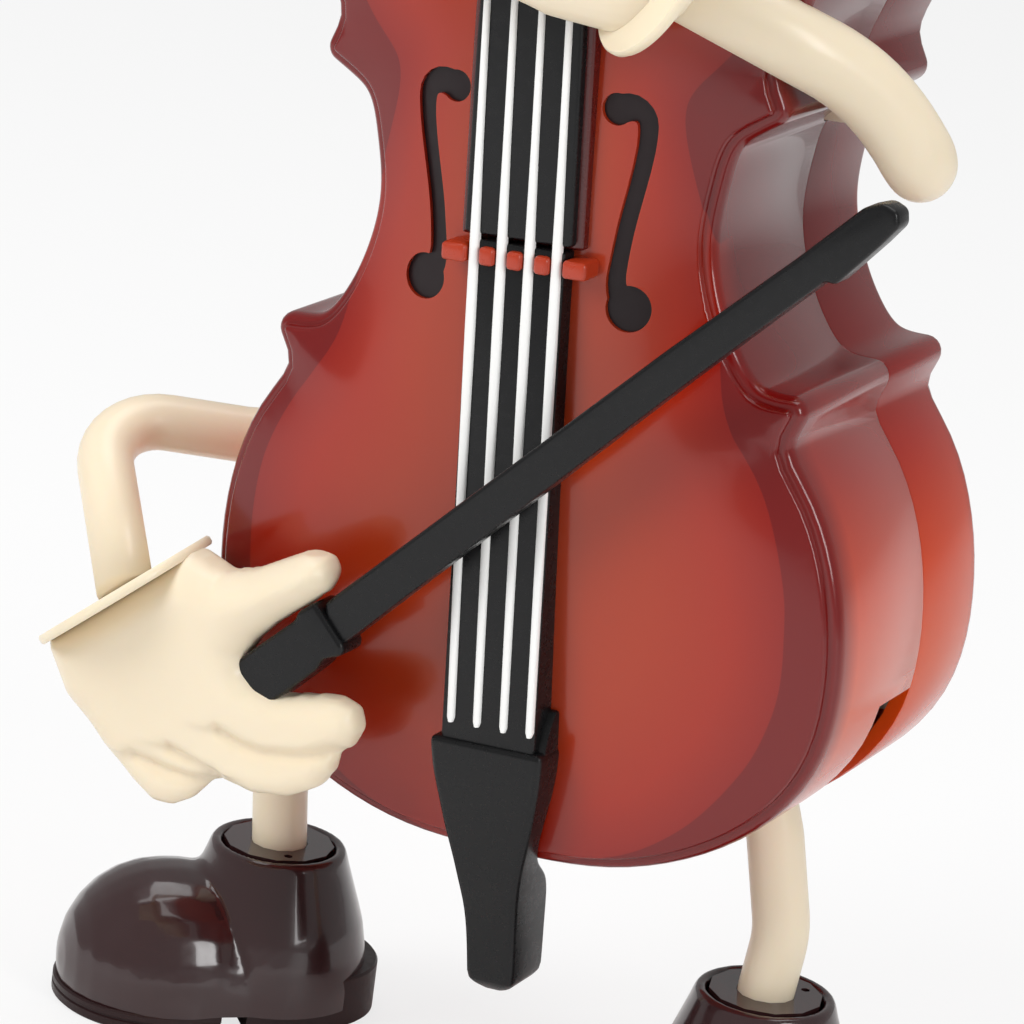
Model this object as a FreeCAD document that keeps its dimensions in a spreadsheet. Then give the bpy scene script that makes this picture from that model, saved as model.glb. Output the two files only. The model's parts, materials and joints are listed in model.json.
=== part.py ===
import FreeCAD, Part
import Sketcher
import math
import os
import re
from FreeCAD import Placement, Rotation, Vector

# Cello music box on two booted legs: a hollow cello that sways on a hip pivot, moved by a spring-wound
# comb movement, with one arm that bows and one that holds the neck.
# Lengths are in millimetres. X runs to the viewer's right, Y runs to the back and Z runs up.
# The cello's own pieces are laid out upright about its centre line, with y = 0 on the seam of its two
# shells and z = 0 at its lower edge. They lean with the cello through its frame, as pictured.

SIZES = {
    # Where the whole object stands
    "stand_middle_x": 0.1,
    "seam_y": 7.4,
    "hip_height": 121.5,
    "hip_level": 84.0,
    # Cello body
    "bout_half": 39.6,
    "face_length": 142.0,
    "rim_inset": 2.0,
    "front_depth": 25.8,
    "face_step": 1.0,
    "rear_depth": 18.0,
    "shell_wall": 1.9,
    "rim_bevel": 1.2,
    "back_bevel": 1.4,
    "seat_gap": 0.3,
    "run_gap": 0.06,
    "overrun": 1.0,
    "curve_step_bow": 0.3,
    "corner_nose": 0.5,
    # Sound holes
    "sound_hole_depth": 0.7,
    "sound_hole_stem": 2.0,
    "sound_hole_low_ball": 3.1,
    "sound_hole_top_ball": 1.9,
    "sound_hole_low_x": 13.6,
    "sound_hole_top_x": 11.0,
    "sound_hole_bend_x": 15.4,
    # Slots for the legs and the bow arm
    "leg_slot_inner_x": -18.6,
    "leg_slot_depth": 9.8,
    "arm_slot_rise": 2.0,
    "arm_slot_drop": 1.6,
    # Shell screws and their posts
    "post_radius": 3.0,
    "screw_radius": 1.0,
    "screw_head_radius": 2.2,
    "screw_head_height": 1.4,
    "screw_length": 20.0,
    "low_post_x": 10.0,
    "low_post_z": 7.6,
    "top_post_x": 22.5,
    # Fingerboard, strings, bridge and tailpiece
    "strip_half": 6.2,
    "board_low_half": 6.8,
    "board_top_half": 5.4,
    "board_face": 6.5,
    "board_end_z": 2.9,
    "nut_z": 19.0,
    "nut_length": 2.2,
    "nut_rise": 0.6,
    "board_bevel": 0.8,
    "string_width": 1.0,
    "string_rise": 0.7,
    "string_low_half": 5.4,
    "string_top_half": 4.3,
    "string_end_z": 18.6,
    "bridge_half": 9.4,
    "bridge_height": 2.5,
    "bridge_face": 7.4,
    "bridge_slot_width": 1.5,
    "bridge_string_share": 0.92,
    "bridge_foot_half": 10.6,
    "bridge_foot_depth": 1.6,
    "tail_top_z": 15.6,
    "tail_bottom_z": -14.6,
    "tail_top_half": 7.6,
    "tail_low_half": 3.0,
    "tail_top_face": 7.1,
    "tail_low_face": 2.2,
    "tail_low_back": -6.2,
    "tail_bevel": 1.2,
    "ledge_half": 8.0,
    "ledge_rise": 1.2,
    "strip_end_z": 17.5,
    # Neck, pegbox and scroll
    "tenon_half": 3.0,
    "tenon_depth": 8.0,
    "neck_top_z": 21.2,
    "neck_bend_z": 14.0,
    "neck_heel_y": 9.0,
    "neck_heel_z": 8.0,
    "pegbox_lean": 3.0,
    "neck_half": 5.0,
    "neck_back": -8.3,
    "neck_foot_z": -4.0,
    "pegbox_length": 17.5,
    "pegbox_top_half": 3.6,
    "scroll_radius": 6.4,
    "scroll_half": 4.6,
    "scroll_step": 1.2,
    "peg_shaft_radius": 1.0,
    "peg_reach": 10.6,
    "peg_head_radius": 2.3,
    "peg_head_thickness": 1.7,
    "peg_low_z": 24.0,
    "peg_pitch": 3.6,
    # Limbs
    "limb_radius": 3.6,
    "elbow_round": 8.0,
    "finger_radius": 3.0,
    "hand_cuff_radius": 11.1,
    "hold_cuff_radius": 7.0,
    "hand_cuff_thickness": 1.7,
    "hold_root_x": -18.4,
    "hold_collar": 2.0,
    "hold_exit_x": -6.6,
    "hold_elbow_x": 2.9,
    "hold_elbow_y": 12.0,
    "hold_elbow_z": -5.1,
    "hold_cuff_x": 17.5,
    "hold_cuff_y": 13.2,
    "hold_cuff_z": 11.9,
    "hold_finger_z": 13.4,
    "hold_knuckle_x": 9.5,
    "hold_tip_x": 2.0,
    "hold_palm_depth": 5.6,
    "leg_y_front": 5.0,
    "ankle_x": -4.9,
    "knee_x": -4.0,
    "leg_bottom_z": 8.0,
    "leg_entry_x": -6.8,
    "leg_top_x": -13.1,
    "leg_bend": 12.0,
    # Shoes
    "toe_reach": 27.0,
    "heel_reach": 14.2,
    "toe_half": 12.8,
    "heel_half": 10.4,
    "sole_thickness": 3.2,
    "heel_height": 6.8,
    "arch_height": 3.6,
    "heel_front": 4.6,
    "arch_front": 3.4,
    "sole_edge": 0.7,
    "toe_height": 21.4,
    "collar_height": 24.6,
    "collar_radius": 8.6,
    "collar_bore": 7.2,
    "collar_bore_depth": 4.4,
    "ankle_plug_thickness": 1.6,
    "plug_pin_hole": 0.6,
    "shoe_screw_radius": 1.1,
    "shoe_screw_head": 2.6,
    "shoe_screw_length": 14.0,
    "shoe_screw_seat": 4.0,
    # Hip yoke
    "yoke_front": 9.0,
    "yoke_thickness": 2.8,
    "yoke_eye_radius": 5.0,
    "yoke_arm_width": 8.0,
    "yoke_bar_half": 11.0,
    "yoke_bar_height": 13.0,
    "yoke_slot_half": 4.2,
    "yoke_peg_boss": 3.0,
    "leg_screw_length": 5.0,
    "yoke_tail_room": 1.6,
    "hip_pin_radius": 2.0,
    "hip_post_radius": 4.0,
    "hip_pin_head": 3.6,
    "hip_pin_head_height": 1.2,
    # Bow arm
    "arm_pivot_x": -6.4,
    "arm_eye_radius": 4.4,
    "arm_eye_back": 4.0,
    "arm_pin_radius": 1.5,
    "arm_pin_head": 2.6,
    "arm_pin_head_height": 1.0,
    "arm_post_radius": 3.0,
    "arm_tail_length": 13.7,
    "arm_tail_width": 6.8,
    "arm_tail_front": 4.6,
    "arm_tail_thickness": 2.4,
    "peg_radius": 1.2,
    "peg_play": 0.35,
    "arm_slot_front": 8.6,
    "arm_slot_reach": 4.8,
    "arm_slot_back": 4.2,
    "arm_pin_seat": 13.0,
    "hip_pin_seat": 10.0,
    "screw_seat_y": 5.0,
    "bow_exit_x": -0.1,
    "bow_exit_y": 2.6,
    "bow_exit_z": 0.2,
    "bow_upper_x": 8.1,
    "bow_upper_y": 9.0,
    "bow_upper_z": 0.8,
    "bow_elbow_x": 22.2,
    "bow_elbow_y": 20.0,
    "bow_elbow_z": 1.9,
    "bow_cuff_x": 8.2,
    "bow_cuff_y": 11.2,
    "bow_cuff_z": -13.2,
    "bow_elbow_round": 7.0,
    "cuff_axis_x": 0.598,
    "cuff_axis_y": 0.053,
    "cuff_axis_z": 0.799,
    # Bow hand and bow
    "bow_hand_y": 11.2,
    "palm_x": 3.8,
    "palm_z": -23.8,
    "palm_half_width": 9.6,
    "palm_half_depth": 6.6,
    "palm_half_height": 12.6,
    "palm_turn": -36.0,
    "thumb_base_x": -1.6,
    "thumb_base_z": -14.8,
    "thumb_tip_x": -18.3,
    "thumb_tip_z": -6.5,
    "index_base_x": -2.6,
    "index_base_z": -23.0,
    "index_tip_x": -22.2,
    "index_tip_z": -25.0,
    "middle_base_x": -1.6,
    "middle_base_z": -28.0,
    "middle_tip_x": -18.2,
    "middle_tip_z": -31.0,
    "ring_base_x": 2.4,
    "ring_base_z": -30.8,
    "ring_tip_x": -2.0,
    "ring_tip_z": -35.8,
    "bow_middle_y": 10.7,
    "bow_depth": 3.6,
    "bow_width": 4.4,
    "bow_bevel": 0.8,
    "bow_start_x": -16.0,
    "bow_start_z": -11.4,
    "bow_bend_x": -77.2,
    "bow_bend_z": 40.4,
    "bow_head_x": -82.7,
    "bow_head_z": 46.6,
    "bow_tip_x": -89.0,
    "bow_tip_z": 48.0,
    "frog_depth": 5.4,
    "frog_low_x": -9.8,
    "frog_low_z": -17.6,
    "frog_end_x": -14.3,
    "frog_end_z": -22.3,
    "frog_front_x": -23.1,
    "frog_front_z": -15.6,
    "frog_top_x": -16.0,
    "frog_top_z": -11.3,
    # Movement
    "bedplate_thickness": 1.6,
    "bedplate_front": 14.0,
    "bedplate_left": 15.0,
    "bedplate_right": -6.0,
    "bedplate_low_z": -20.4,
    "bedplate_top_z": 14.6,
    "bedplate_tab_half": 8.6,
    "bedplate_tab_z": 22.0,
    "plate_screw_left": 12.2,
    "plate_screw_right": -8.6,
    "plate_screw_low_z": -17.6,
    "plate_screw_top_z": 11.6,
    "drum_radius": 10.0,
    "drum_front": 0.4,
    "drum_wall": 0.8,
    "great_wheel_front": 10.9,
    "great_wheel_thickness": 2.0,
    "great_wheel_pitch": 13.2,
    "tooth_rise": 0.45,
    "tooth_drop": 0.6,
    "contrate_pitch": 12.0,
    "contrate_half": 0.9,
    "contrate_height": 1.1,
    "contrate_base": 0.3,
    "bridge_front": 0.9,
    "bridge_thickness": 0.9,
    "bridge_bar_half": 3.0,
    "pillar_x": 6.0,
    "pillar_rise": 14.75,
    "pillar_radius": 1.5,
    "arbor_radius": 1.5,
    "spring_ribbon": 0.4,
    "ratchet_radius": 4.2,
    "ratchet_thickness": 0.7,
    "crank_z": 16.6,
    "crank_disc_radius": 4.5,
    "crank_disc_front": 4.6,
    "crank_disc_thickness": 1.3,
    "crank_shaft_radius": 0.8,
    "crank_pin_radius": 0.9,
    "crank_pinion_thickness": 1.8,
    "cylinder_y": 6.0,
    "cylinder_radius": 6.0,
    "cylinder_left": 15.3,
    "cylinder_play": 0.4,
    "cylinder_wall": 0.8,
    "music_pin_height": 0.55,
    "music_pin_width": 0.35,
    "cylinder_pinion_left": 11.2,
    "cylinder_pinion_width": 1.6,
    "cylinder_arbor_radius": 0.8,
    "bracket_left_x": 14.0,
    "bracket_right_x": -8.9,
    "bracket_thickness": 0.9,
    "bracket_half": 3.0,
    "bracket_foot": 3.4,
    "bracket_front": 2.6,
    "worm_wheel_left": -7.7,
    "worm_wheel_radius": 5.6,
    "worm_wheel_width": 1.4,
    "worm_gap": 0.1,
    "worm_length": 6.0,
    "worm_radius": 1.0,
    "fly_x": -7.0,
    "fly_front": 4.9,
    "fly_shaft_radius": 0.5,
    "fly_wing_reach": 4.0,
    "fly_wing_height": 3.4,
    "fly_wing_thickness": 0.5,
    "comb_thickness": 0.8,
    "comb_base_height": 5.0,
    "comb_low_z": -19.8,
    "comb_tooth_gap": 0.22,
    "comb_bass_drop": 2.4,
    "comb_reach_gap": 0.3,
    "comb_screw_radius": 0.7,
    "comb_screw_head": 1.3,
    "comb_screw_length": 5.0,
    "governor_half": 2.0,
    "governor_top_z": 13.2,
    "governor_front": 0.9,
    # Winding key
    "key_wing_x": 6.2,
    "key_wing_radius": 5.0,
    "key_web_half": 3.0,
    "key_wing_thickness": 2.0,
    "key_hub_radius": 3.0,
    "key_hub_length": 9.0,
    "key_hole_radius": 3.4,
    "key_clearance": 1.2,
}

ANGLES = {
    # Degrees
    "sway_lean": 4.4,
    "sway_half_swing": 5.0,
    "toe_out": 48.0,
    "mitre_turn": 18.0,
}

COUNTS = {
    "barrel_teeth": 48,
    "crank_teeth": 12,
    "cylinder_teeth": 16,
    "worm_wheel_teeth": 32,
    "comb_teeth": 18,
    "string_count": 4,
    "spring_turns": 4,
    "spring_steps": 12,
    "pins_per_note": 2,
    "cylinder_sides": 24,
    "drum_sides": 24,
    "post_sides": 12,
    "cuff_sides": 20,
    "finger_sides": 8,
    "lump_sides": 12,
    "tube_sides": 12,
    "end_steps": 6,
    "lump_rings": 5,
}

doc = FreeCAD.newDocument("cello_music_box")
sheet = doc.addObject("Spreadsheet::Sheet", "Sizes")
for row, (alias, value) in enumerate({**SIZES, **ANGLES, **COUNTS}.items(), 1):
    sheet.set(f"A{row}", alias)
    sheet.set(f"B{row}", str(value))
    sheet.setAlias(f"B{row}", alias)
doc.recompute()
nodes = {}

# Outline of the face, right half, as shares of its half width and its length, from the bottom to the top
LOWER_BOUT_SHARES = ((0, 0), (0.328, 0.005), (0.596, 0.029), (0.795, 0.065), (0.939, 0.116), (1, 0.204),
                     (0.960, 0.285), (0.866, 0.342), (0.793, 0.382), (0.828, 0.410))
WAIST_SHARES = ((0.828, 0.410), (0.712, 0.415), (0.621, 0.441), (0.545, 0.486), (0.508, 0.539),
                (0.530, 0.592), (0.586, 0.633), (0.646, 0.646), (0.705, 0.656))
UPPER_BOUT_SHARES = ((0.705, 0.656), (0.672, 0.683), (0.722, 0.727), (0.783, 0.806), (0.740, 0.891),
                     (0.568, 0.961), (0.303, 0.994), (0, 1))

# Which sizes are measured from another size, and so move with it
MEASURED_FROM = {
    "bout_half": (
        "arm_pivot_x", "bow_exit_x", "bow_upper_x", "bow_elbow_x", "bow_cuff_x", "palm_x",
        "thumb_base_x", "thumb_tip_x", "index_base_x", "index_tip_x", "middle_base_x", "middle_tip_x",
        "ring_base_x", "ring_tip_x", "bow_start_x", "bow_bend_x", "bow_head_x", "bow_tip_x",
        "frog_low_x", "frog_end_x", "frog_front_x", "frog_top_x", "ankle_x", "knee_x", "leg_entry_x",
        "leg_top_x", "leg_slot_inner_x", "hold_root_x", "hold_exit_x", "hold_elbow_x",
        "bedplate_right", "plate_screw_right", "fly_x", "bracket_right_x", "worm_wheel_left",
    ),
    "front_depth": (
        "board_face", "bridge_face", "tail_top_face", "tail_low_face", "tail_low_back", "bow_hand_y",
        "bow_middle_y", "hold_cuff_y", "bow_cuff_y", "neck_back",
    ),
    "face_length": (
        "neck_foot_z", "nut_z", "neck_top_z", "neck_bend_z", "neck_heel_z", "peg_low_z",
    ),
    "bridge_level": (
        "board_end_z",
    ),
    "arm_pivot_z": (
        "bow_exit_z", "bow_upper_z", "bow_elbow_z", "bow_cuff_z", "palm_z", "thumb_base_z",
        "thumb_tip_z", "index_base_z", "index_tip_z", "middle_base_z", "middle_tip_z", "ring_base_z",
        "ring_tip_z", "bow_start_z", "bow_bend_z", "bow_head_z", "bow_tip_z", "frog_low_z",
        "frog_end_z", "frog_front_z", "frog_top_z",
    ),
    "hold_root_z": (
        "hold_elbow_z", "hold_cuff_z", "hold_finger_z",
    ),
    "spring_z": (
        "bedplate_low_z", "bedplate_top_z", "bedplate_tab_z", "plate_screw_low_z", "plate_screw_top_z",
        "crank_z", "comb_low_z", "governor_top_z",
    ),
}

# Heights that are a share of a size
HEIGHT_SHARES = {
    "face_length": {
        "top_post_z": 0.79577,
        "arm_pivot_z": 0.28451,
        "hold_root_z": 0.65915,
        "sound_hole_low_z": 0.49437,
        "sound_hole_top_z": 0.65493,
        "bridge_level": 0.51479,
        "spring_z": 0.24648,
        "leg_slot_top_z": 0.15915,
    },
    "hip_height": {
        "ankle_bend_z": 0.18107,
        "knee_z": 0.24691,
        "leg_entry_z": 0.34568,
        "leg_top_z": 0.49383,
        "lap_z": 0.44115,
        "lap_screw_z": 0.47407,
    },
}

# Sizes worked out from others
DERIVED = {
    "cylinder_length": "bracket_right_x - cylinder_left - cylinder_play",
}
for base, names in MEASURED_FROM.items():
    DERIVED.update({name: f"Sizes.{name} + {base}" for name in names})
for base, shares in HEIGHT_SHARES.items():
    DERIVED.update({name: f"{share} * {base}" for name, share in shares.items()})

ALIASES = {**SIZES, **ANGLES, **COUNTS}


def cell(word):
    """What stands for a size name in an expression: its cell in the spreadsheet, or what it is worked out from."""
    if word[0] in DERIVED:
        return "(" + tie(DERIVED[word[0]]) + ")"
    return "Sizes." * (word[0] in ALIASES) + word[0]


def tie(expression):
    """Points every size name in an expression at the spreadsheet."""
    return re.sub(r"(?<!Sizes\.)\b[a-z]\w*", cell, expression)


def size(expression):
    """The value of an expression of size names."""
    return float(sheet.evalExpression(tie(expression)))


def bind(item, **expressions):
    for name, expression in expressions.items():
        item.setExpression(name.replace("_at_", "."), tie(expression))
    return item


def box(x0, x1, y0, y1, z0, z1):
    """A block between six planes, each given as an expression."""
    item = doc.addObject("Part::Box", "block")
    bind(item, Length=f"({x1}) - ({x0})", Width=f"({y1}) - ({y0})", Height=f"({z1}) - ({z0})")
    return bind(item, Placement_at_Base_at_x=x0, Placement_at_Base_at_y=y0, Placement_at_Base_at_z=z0)


def rod_x(radius, x0, x1, y, z):
    item = doc.addObject("Part::Cylinder", "rod")
    item.Placement = Placement(Vector(), Rotation(Vector(0, 1, 0), Vector(0, 0, 1), Vector(1, 0, 0)))
    bind(item, Radius=radius, Height=f"({x1}) - ({x0})")
    return bind(item, Placement_at_Base_at_x=x0, Placement_at_Base_at_y=y, Placement_at_Base_at_z=z)


def rod_y(radius, y0, y1, x, z):
    item = doc.addObject("Part::Cylinder", "rod")
    item.Placement = Placement(Vector(), Rotation(Vector(0, 0, 1), Vector(1, 0, 0), Vector(0, 1, 0)))
    bind(item, Radius=radius, Height=f"({y1}) - ({y0})")
    return bind(item, Placement_at_Base_at_x=x, Placement_at_Base_at_y=y0, Placement_at_Base_at_z=z)


def screw_y(radius, head_radius, tip, seat, top, x, z):
    """A screw along Y with a six-sided shank and head, from its tip past its head's seat to its head's top."""
    shank = sided_rod(HEX, radius, tip, seat, x, z)
    head = sided_rod(HEX, head_radius, seat, top, x, z)
    return fuse(shank, head)


HEX = 6


def sided_rod(sides, radius, start, end, x, z):
    """A many-sided rod along Y, its corners on the radius."""
    y0, y1 = sorted((start, end), key=size)
    item = doc.addObject("Part::Prism", "rod")
    item.Polygon = sides
    item.Placement = Placement(Vector(), Rotation(Vector(0, 0, 1), Vector(1, 0, 0), Vector(0, 1, 0)))
    bind(item, Circumradius=radius, Height=f"({y1}) - ({y0})")
    return bind(item, Placement_at_Base_at_x=x, Placement_at_Base_at_y=y0, Placement_at_Base_at_z=z)


def fuse(*items):
    joined = doc.addObject("Part::MultiFuse", "joined")
    joined.Shapes = list(items)
    return joined


def cut(base, *tools):
    """Cuts one or more tools out of a base."""
    carved = doc.addObject("Part::Cut", "carved")
    carved.Base = base
    carved.Tool = tools[0] if len(tools) == 1 else fuse(*tools)
    return carved


def group(*items):
    """Separate solids that share one node, such as a set of screws."""
    held = doc.addObject("Part::Compound", "group")
    held.Links = list(items)
    return held


def solid(shape):
    """An object that holds a shape worked out from the sheet."""
    item = doc.addObject("Part::Feature", "shape")
    item.Shape = shape
    return item


def point_to(sketch, geometry, position, x, z):
    """Dimensions one point of a sketch from the origin."""
    for kind, expression in (("DistanceX", x), ("DistanceY", z)):
        constraint = Sketcher.Constraint(kind, -1, 1, geometry, position, size(expression))
        number = sketch.addConstraint(constraint)
        sketch.setExpression(f"Constraints[{number}]", tie(expression))


def draw_loop(sketch, corners):
    """Draws a closed polygon whose corners are all dimensioned."""
    first = len(sketch.Geometry)
    spots = [Vector(size(x), size(z), 0) for x, z in corners]
    for spot, following in zip(spots, spots[1:] + spots[:1]):
        sketch.addGeometry(Part.LineSegment(spot, following))
    for step, (x, z) in enumerate(corners):
        here = first + step
        following = first + (step + 1) % len(corners)
        sketch.addConstraint(Sketcher.Constraint("Coincident", here, 2, following, 1))
        point_to(sketch, here, 1, x, z)


def draw_hole(sketch, radius, x, z):
    here = sketch.addGeometry(Part.Circle(Vector(size(x), size(z), 0), Vector(0, 0, 1), size(radius)))
    number = sketch.addConstraint(Sketcher.Constraint("Radius", here, size(radius)))
    sketch.setExpression(f"Constraints[{number}]", tie(radius))
    point_to(sketch, here, 3, x, z)


def plate(corners, back, thickness, holes=(), edge_round=None):
    """A flat plate drawn in the front view: its back face is at y = back and it runs forward."""
    body = doc.addObject("PartDesign::Body", "plate")
    doc.recompute()
    plane = next(part for part in body.Origin.OriginFeatures if part.Role == "XZ_Plane")
    sketch = body.newObject("Sketcher::SketchObject", "profile")
    sketch.AttachmentSupport = [(plane, "")]
    sketch.MapMode = "FlatFace"
    draw_loop(sketch, corners)
    for hole in holes:
        draw_hole(sketch, *hole)
    sketch.setExpression("AttachmentOffset.Base.z", tie(f"-({back})"))
    pad = body.newObject("PartDesign::Pad", "pad")
    pad.Profile = sketch
    bind(pad, Length=thickness)
    doc.recompute()
    if edge_round:
        front = size(f"({back}) - ({thickness})")
        fillet = body.newObject("PartDesign::Fillet", "edge")
        fillet.Base = (pad, edges_at(pad.Shape, front))
        bind(fillet, Radius=edge_round)
        doc.recompute()
    return body


def rectangle(x0, x1, z0, z1):
    return [(x0, z0), (x1, z0), (x1, z1), (x0, z1)]


def edges_at(shape, level):
    """Names of the edges that lie in the plane y = level."""
    names = []
    for number, edge in enumerate(shape.Edges, 1):
        bounds = edge.BoundBox
        if max(abs(bounds.YMin - level), abs(bounds.YMax - level)) < FLAT_TOLERANCE:
            names.append(f"Edge{number}")
    return names


FLAT_TOLERANCE = 0.001


# Where the cello hangs on its stand
HIP = Vector(size("stand_middle_x"), size("seam_y"), size("hip_height"))
STAND_FRAME = Placement(Vector(HIP.x, HIP.y, 0), Rotation())
LEAN = Rotation(Vector(0, 1, 0), -size("sway_lean"))
CELLO_FRAME = Placement(HIP, LEAN).multiply(Placement(Vector(0, 0, -size("hip_level")), Rotation()))


def finish(item, node, frame):
    """Names a finished sub-part and moves it to where it stands in the whole object."""
    item.Label = node
    item.Placement = frame.multiply(item.Placement)
    nodes[node] = item


def flat(corners):
    return Part.Face(Part.makePolygon(corners + corners[:1]))


def ruled(rings):
    """A solid with flat sides through rings that are alike."""
    faces = [flat(rings[0]), flat(rings[-1])]
    for low, high in zip(rings, rings[1:]):
        for number in range(len(low)):
            following = (number + 1) % len(low)
            faces.append(flat([low[number], low[following], high[following], high[number]]))
    return Part.makeSolid(Part.makeShell(faces))


def smooth(points):
    """Spots along a smooth line through points, closer where it bends more."""
    curve = Part.BSplineCurve()
    curve.interpolate(points)
    return curve.discretize(QuasiDeflection=size("curve_step_bow"))


def set_out(line, distance, closed):
    """A run of spots moved to the right of its direction of travel in the front view, its steps kept parallel."""
    moved = []
    for number, spot in enumerate(line):
        before = line[number - 1] if closed or number else None
        after = line[(number + 1) % len(line)] if closed or number < len(line) - 1 else None
        sides = [Vector(run.z, 0, -run.x).normalize()
                 for run in ([spot - before] if before else []) + ([after - spot] if after else [])]
        mitre = sides[0] + sides[-1]
        moved.append(spot + mitre * (distance / mitre.dot(sides[0])))
    return moved


def outline_spots():
    """The face outline, anticlockwise from the front: four smooth runs that meet in four blunt corners."""
    def spot(share, side):
        return Vector(side * size("bout_half") * share[0], 0,
                      size("rim_inset") + size("face_length") * share[1])

    bottom = [spot(share, -1) for share in reversed(LOWER_BOUT_SHARES)]
    bottom += [spot(share, 1) for share in LOWER_BOUT_SHARES[1:]]
    top = [spot(share, 1) for share in UPPER_BOUT_SHARES]
    top += [spot(share, -1) for share in reversed(UPPER_BOUT_SHARES[:-1])]
    right = [spot(share, 1) for share in WAIST_SHARES]
    left = [spot(share, -1) for share in reversed(WAIST_SHARES)]
    spots = []
    for points in (bottom, right, top, left):
        line = smooth(points)
        spots.append(line[0] + (line[1] - line[0]).normalize() * size("corner_nose"))
        spots += line[1:-1]
        spots.append(line[-1] + (line[-2] - line[-1]).normalize() * size("corner_nose"))
    return spots


def outline_ring(outset, level):
    """The outline set out from the face outline by a distance, in the plane y = level."""
    moved = set_out(outline_spots(), size(outset), True)
    return [Vector(spot.x, size(level), spot.z) for spot in moved]


def outline_prism(outset, start, end):
    """The cello's outline as a block between two planes."""
    return ruled([outline_ring(outset, start), outline_ring(outset, end)])


def bevelled_prism(start, end, bevel_start, bevel):
    """The body's outline as a block with its outer edge bevelled."""
    return ruled([outline_ring("rim_inset", start), outline_ring("rim_inset", bevel_start),
                  outline_ring(f"rim_inset - {bevel}", end)])


def block(x0, x1, y0, y1, z0, z1):
    """A plain block shape, its planes given as expressions."""
    low = Vector(size(x0), size(y0), size(z0))
    high = Vector(size(x1), size(y1), size(z1))
    return Part.makeBox(high.x - low.x, high.y - low.y, high.z - low.z, low)


def pin_y(radius, y0, y1, x, z):
    """A plain round shape along Y, for what turns."""
    start = Vector(size(x), size(y0), size(z))
    return Part.makeCylinder(size(radius), size(y1) - size(y0), start, Vector(0, 1, 0))


def prism(radius, sides, start, end):
    """A many-sided rod between two spots, its corners on the radius."""
    along = (end - start).normalize()
    across = along.cross(Vector(0, 1, 0))
    if across.Length < FLAT_TOLERANCE:
        across = Vector(1, 0, 0)
    across = across.normalize() * radius
    return ruled([ring(spot, across, along.cross(across), sides) for spot in (start, end)])


def clear(radius, sides):
    """Corner radius of a many-sided hole that a round rod of a radius passes through."""
    return radius / math.cos(math.pi / sides)


def post_y(radius, y0, y1, x, z):
    """A many-sided post along Y, for what stands still."""
    return prism(size(radius), COUNTS["post_sides"], Vector(size(x), size(y0), size(z)),
                 Vector(size(x), size(y1), size(z)))


def hole_y(radius, y0, y1, x, z):
    """A many-sided hole along Y for a rod that stands still."""
    return prism(clear(size(radius), COUNTS["post_sides"]), COUNTS["post_sides"],
                 Vector(size(x), size(y0), size(z)), Vector(size(x), size(y1), size(z)))


def round_end(middle, spoke):
    """Spots on the half circle from one end of a spoke about its middle to the other."""
    steps = COUNTS["end_steps"]
    return [middle + Rotation(Vector(0, 1, 0), -180 * step / steps).multVec(spoke) for step in range(steps + 1)]


def ribbon(points, half_width, start, end):
    """A band of even width along a smooth line in the front view, between two planes, with round ends."""
    line = smooth(points)
    right = set_out(line, half_width, False)
    left = set_out(line, -half_width, False)
    corners = right[1:-1] + round_end(line[-1], right[-1] - line[-1])
    corners += list(reversed(left[1:-1])) + round_end(line[0], left[0] - line[0])
    face = flat(corners)
    face.translate(Vector(0, size(start), 0))
    return face.extrude(Vector(0, size(end) - size(start), 0))


def bent_path(points, bend):
    """A run of points with each corner rounded by a few short mitres."""
    path = [points[0]]
    for before, corner, after in zip(points, points[1:], points[2:]):
        inward = (before - corner).normalize()
        outward = (after - corner).normalize()
        half_angle = inward.getAngle(outward) / 2
        setback = min(bend / math.tan(half_angle), (before - corner).Length * BEND_SHARE,
                      (after - corner).Length * BEND_SHARE)
        centre = corner + (inward + outward).normalize() * (setback / math.cos(half_angle))
        spoke = corner + inward * setback - centre
        turn = math.degrees(math.pi - 2 * half_angle)
        steps = max(1, round(turn / size("mitre_turn")))
        for step in range(steps + 1):
            path.append(centre + Rotation(outward.cross(inward), turn * step / steps).multVec(spoke))
    return path + [points[-1]]


BEND_SHARE = 0.45


def limb(points, bend, radius):
    """A bent tube, its section carried along the path from mitre to mitre."""
    path = bent_path(points, bend)
    runs = [(following - here).normalize() for here, following in zip(path, path[1:])]
    across = runs[0].cross(Vector(0, 1, 0)).normalize()
    rings = [ring(path[0], across * radius, runs[0].cross(across) * radius, COUNTS["tube_sides"])]
    for spot, run, following in zip(path[1:], runs, runs[1:] + runs[-1:]):
        mitre = run + following
        rings.append([corner + run * ((spot - corner).dot(mitre) / run.dot(mitre)) for corner in rings[-1]])
    return ruled(rings)


def ring(centre, across, upward, sides):
    """Corners of a many-sided ring about a centre, reaching as far as two vectors at right angles."""
    corners = []
    for number in range(sides):
        turn = 2 * math.pi * (number + 0.5) / sides
        corners.append(centre + across * math.cos(turn) + upward * math.sin(turn))
    return corners


def lump(centre, across, upward, along, lowest):
    """A rounded lump through rings, from a share of its height along one axis to its far end."""
    rings = []
    for step in range(COUNTS["lump_rings"]):
        share = step / (COUNTS["lump_rings"] - 1)
        angle = math.radians(lowest + (LUMP_END - lowest) * share)
        rings.append(ring(centre + along * math.sin(angle), across * math.cos(angle), upward * math.cos(angle),
                          COUNTS["lump_sides"]))
    return ruled(rings)


LUMP_END = 72


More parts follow.
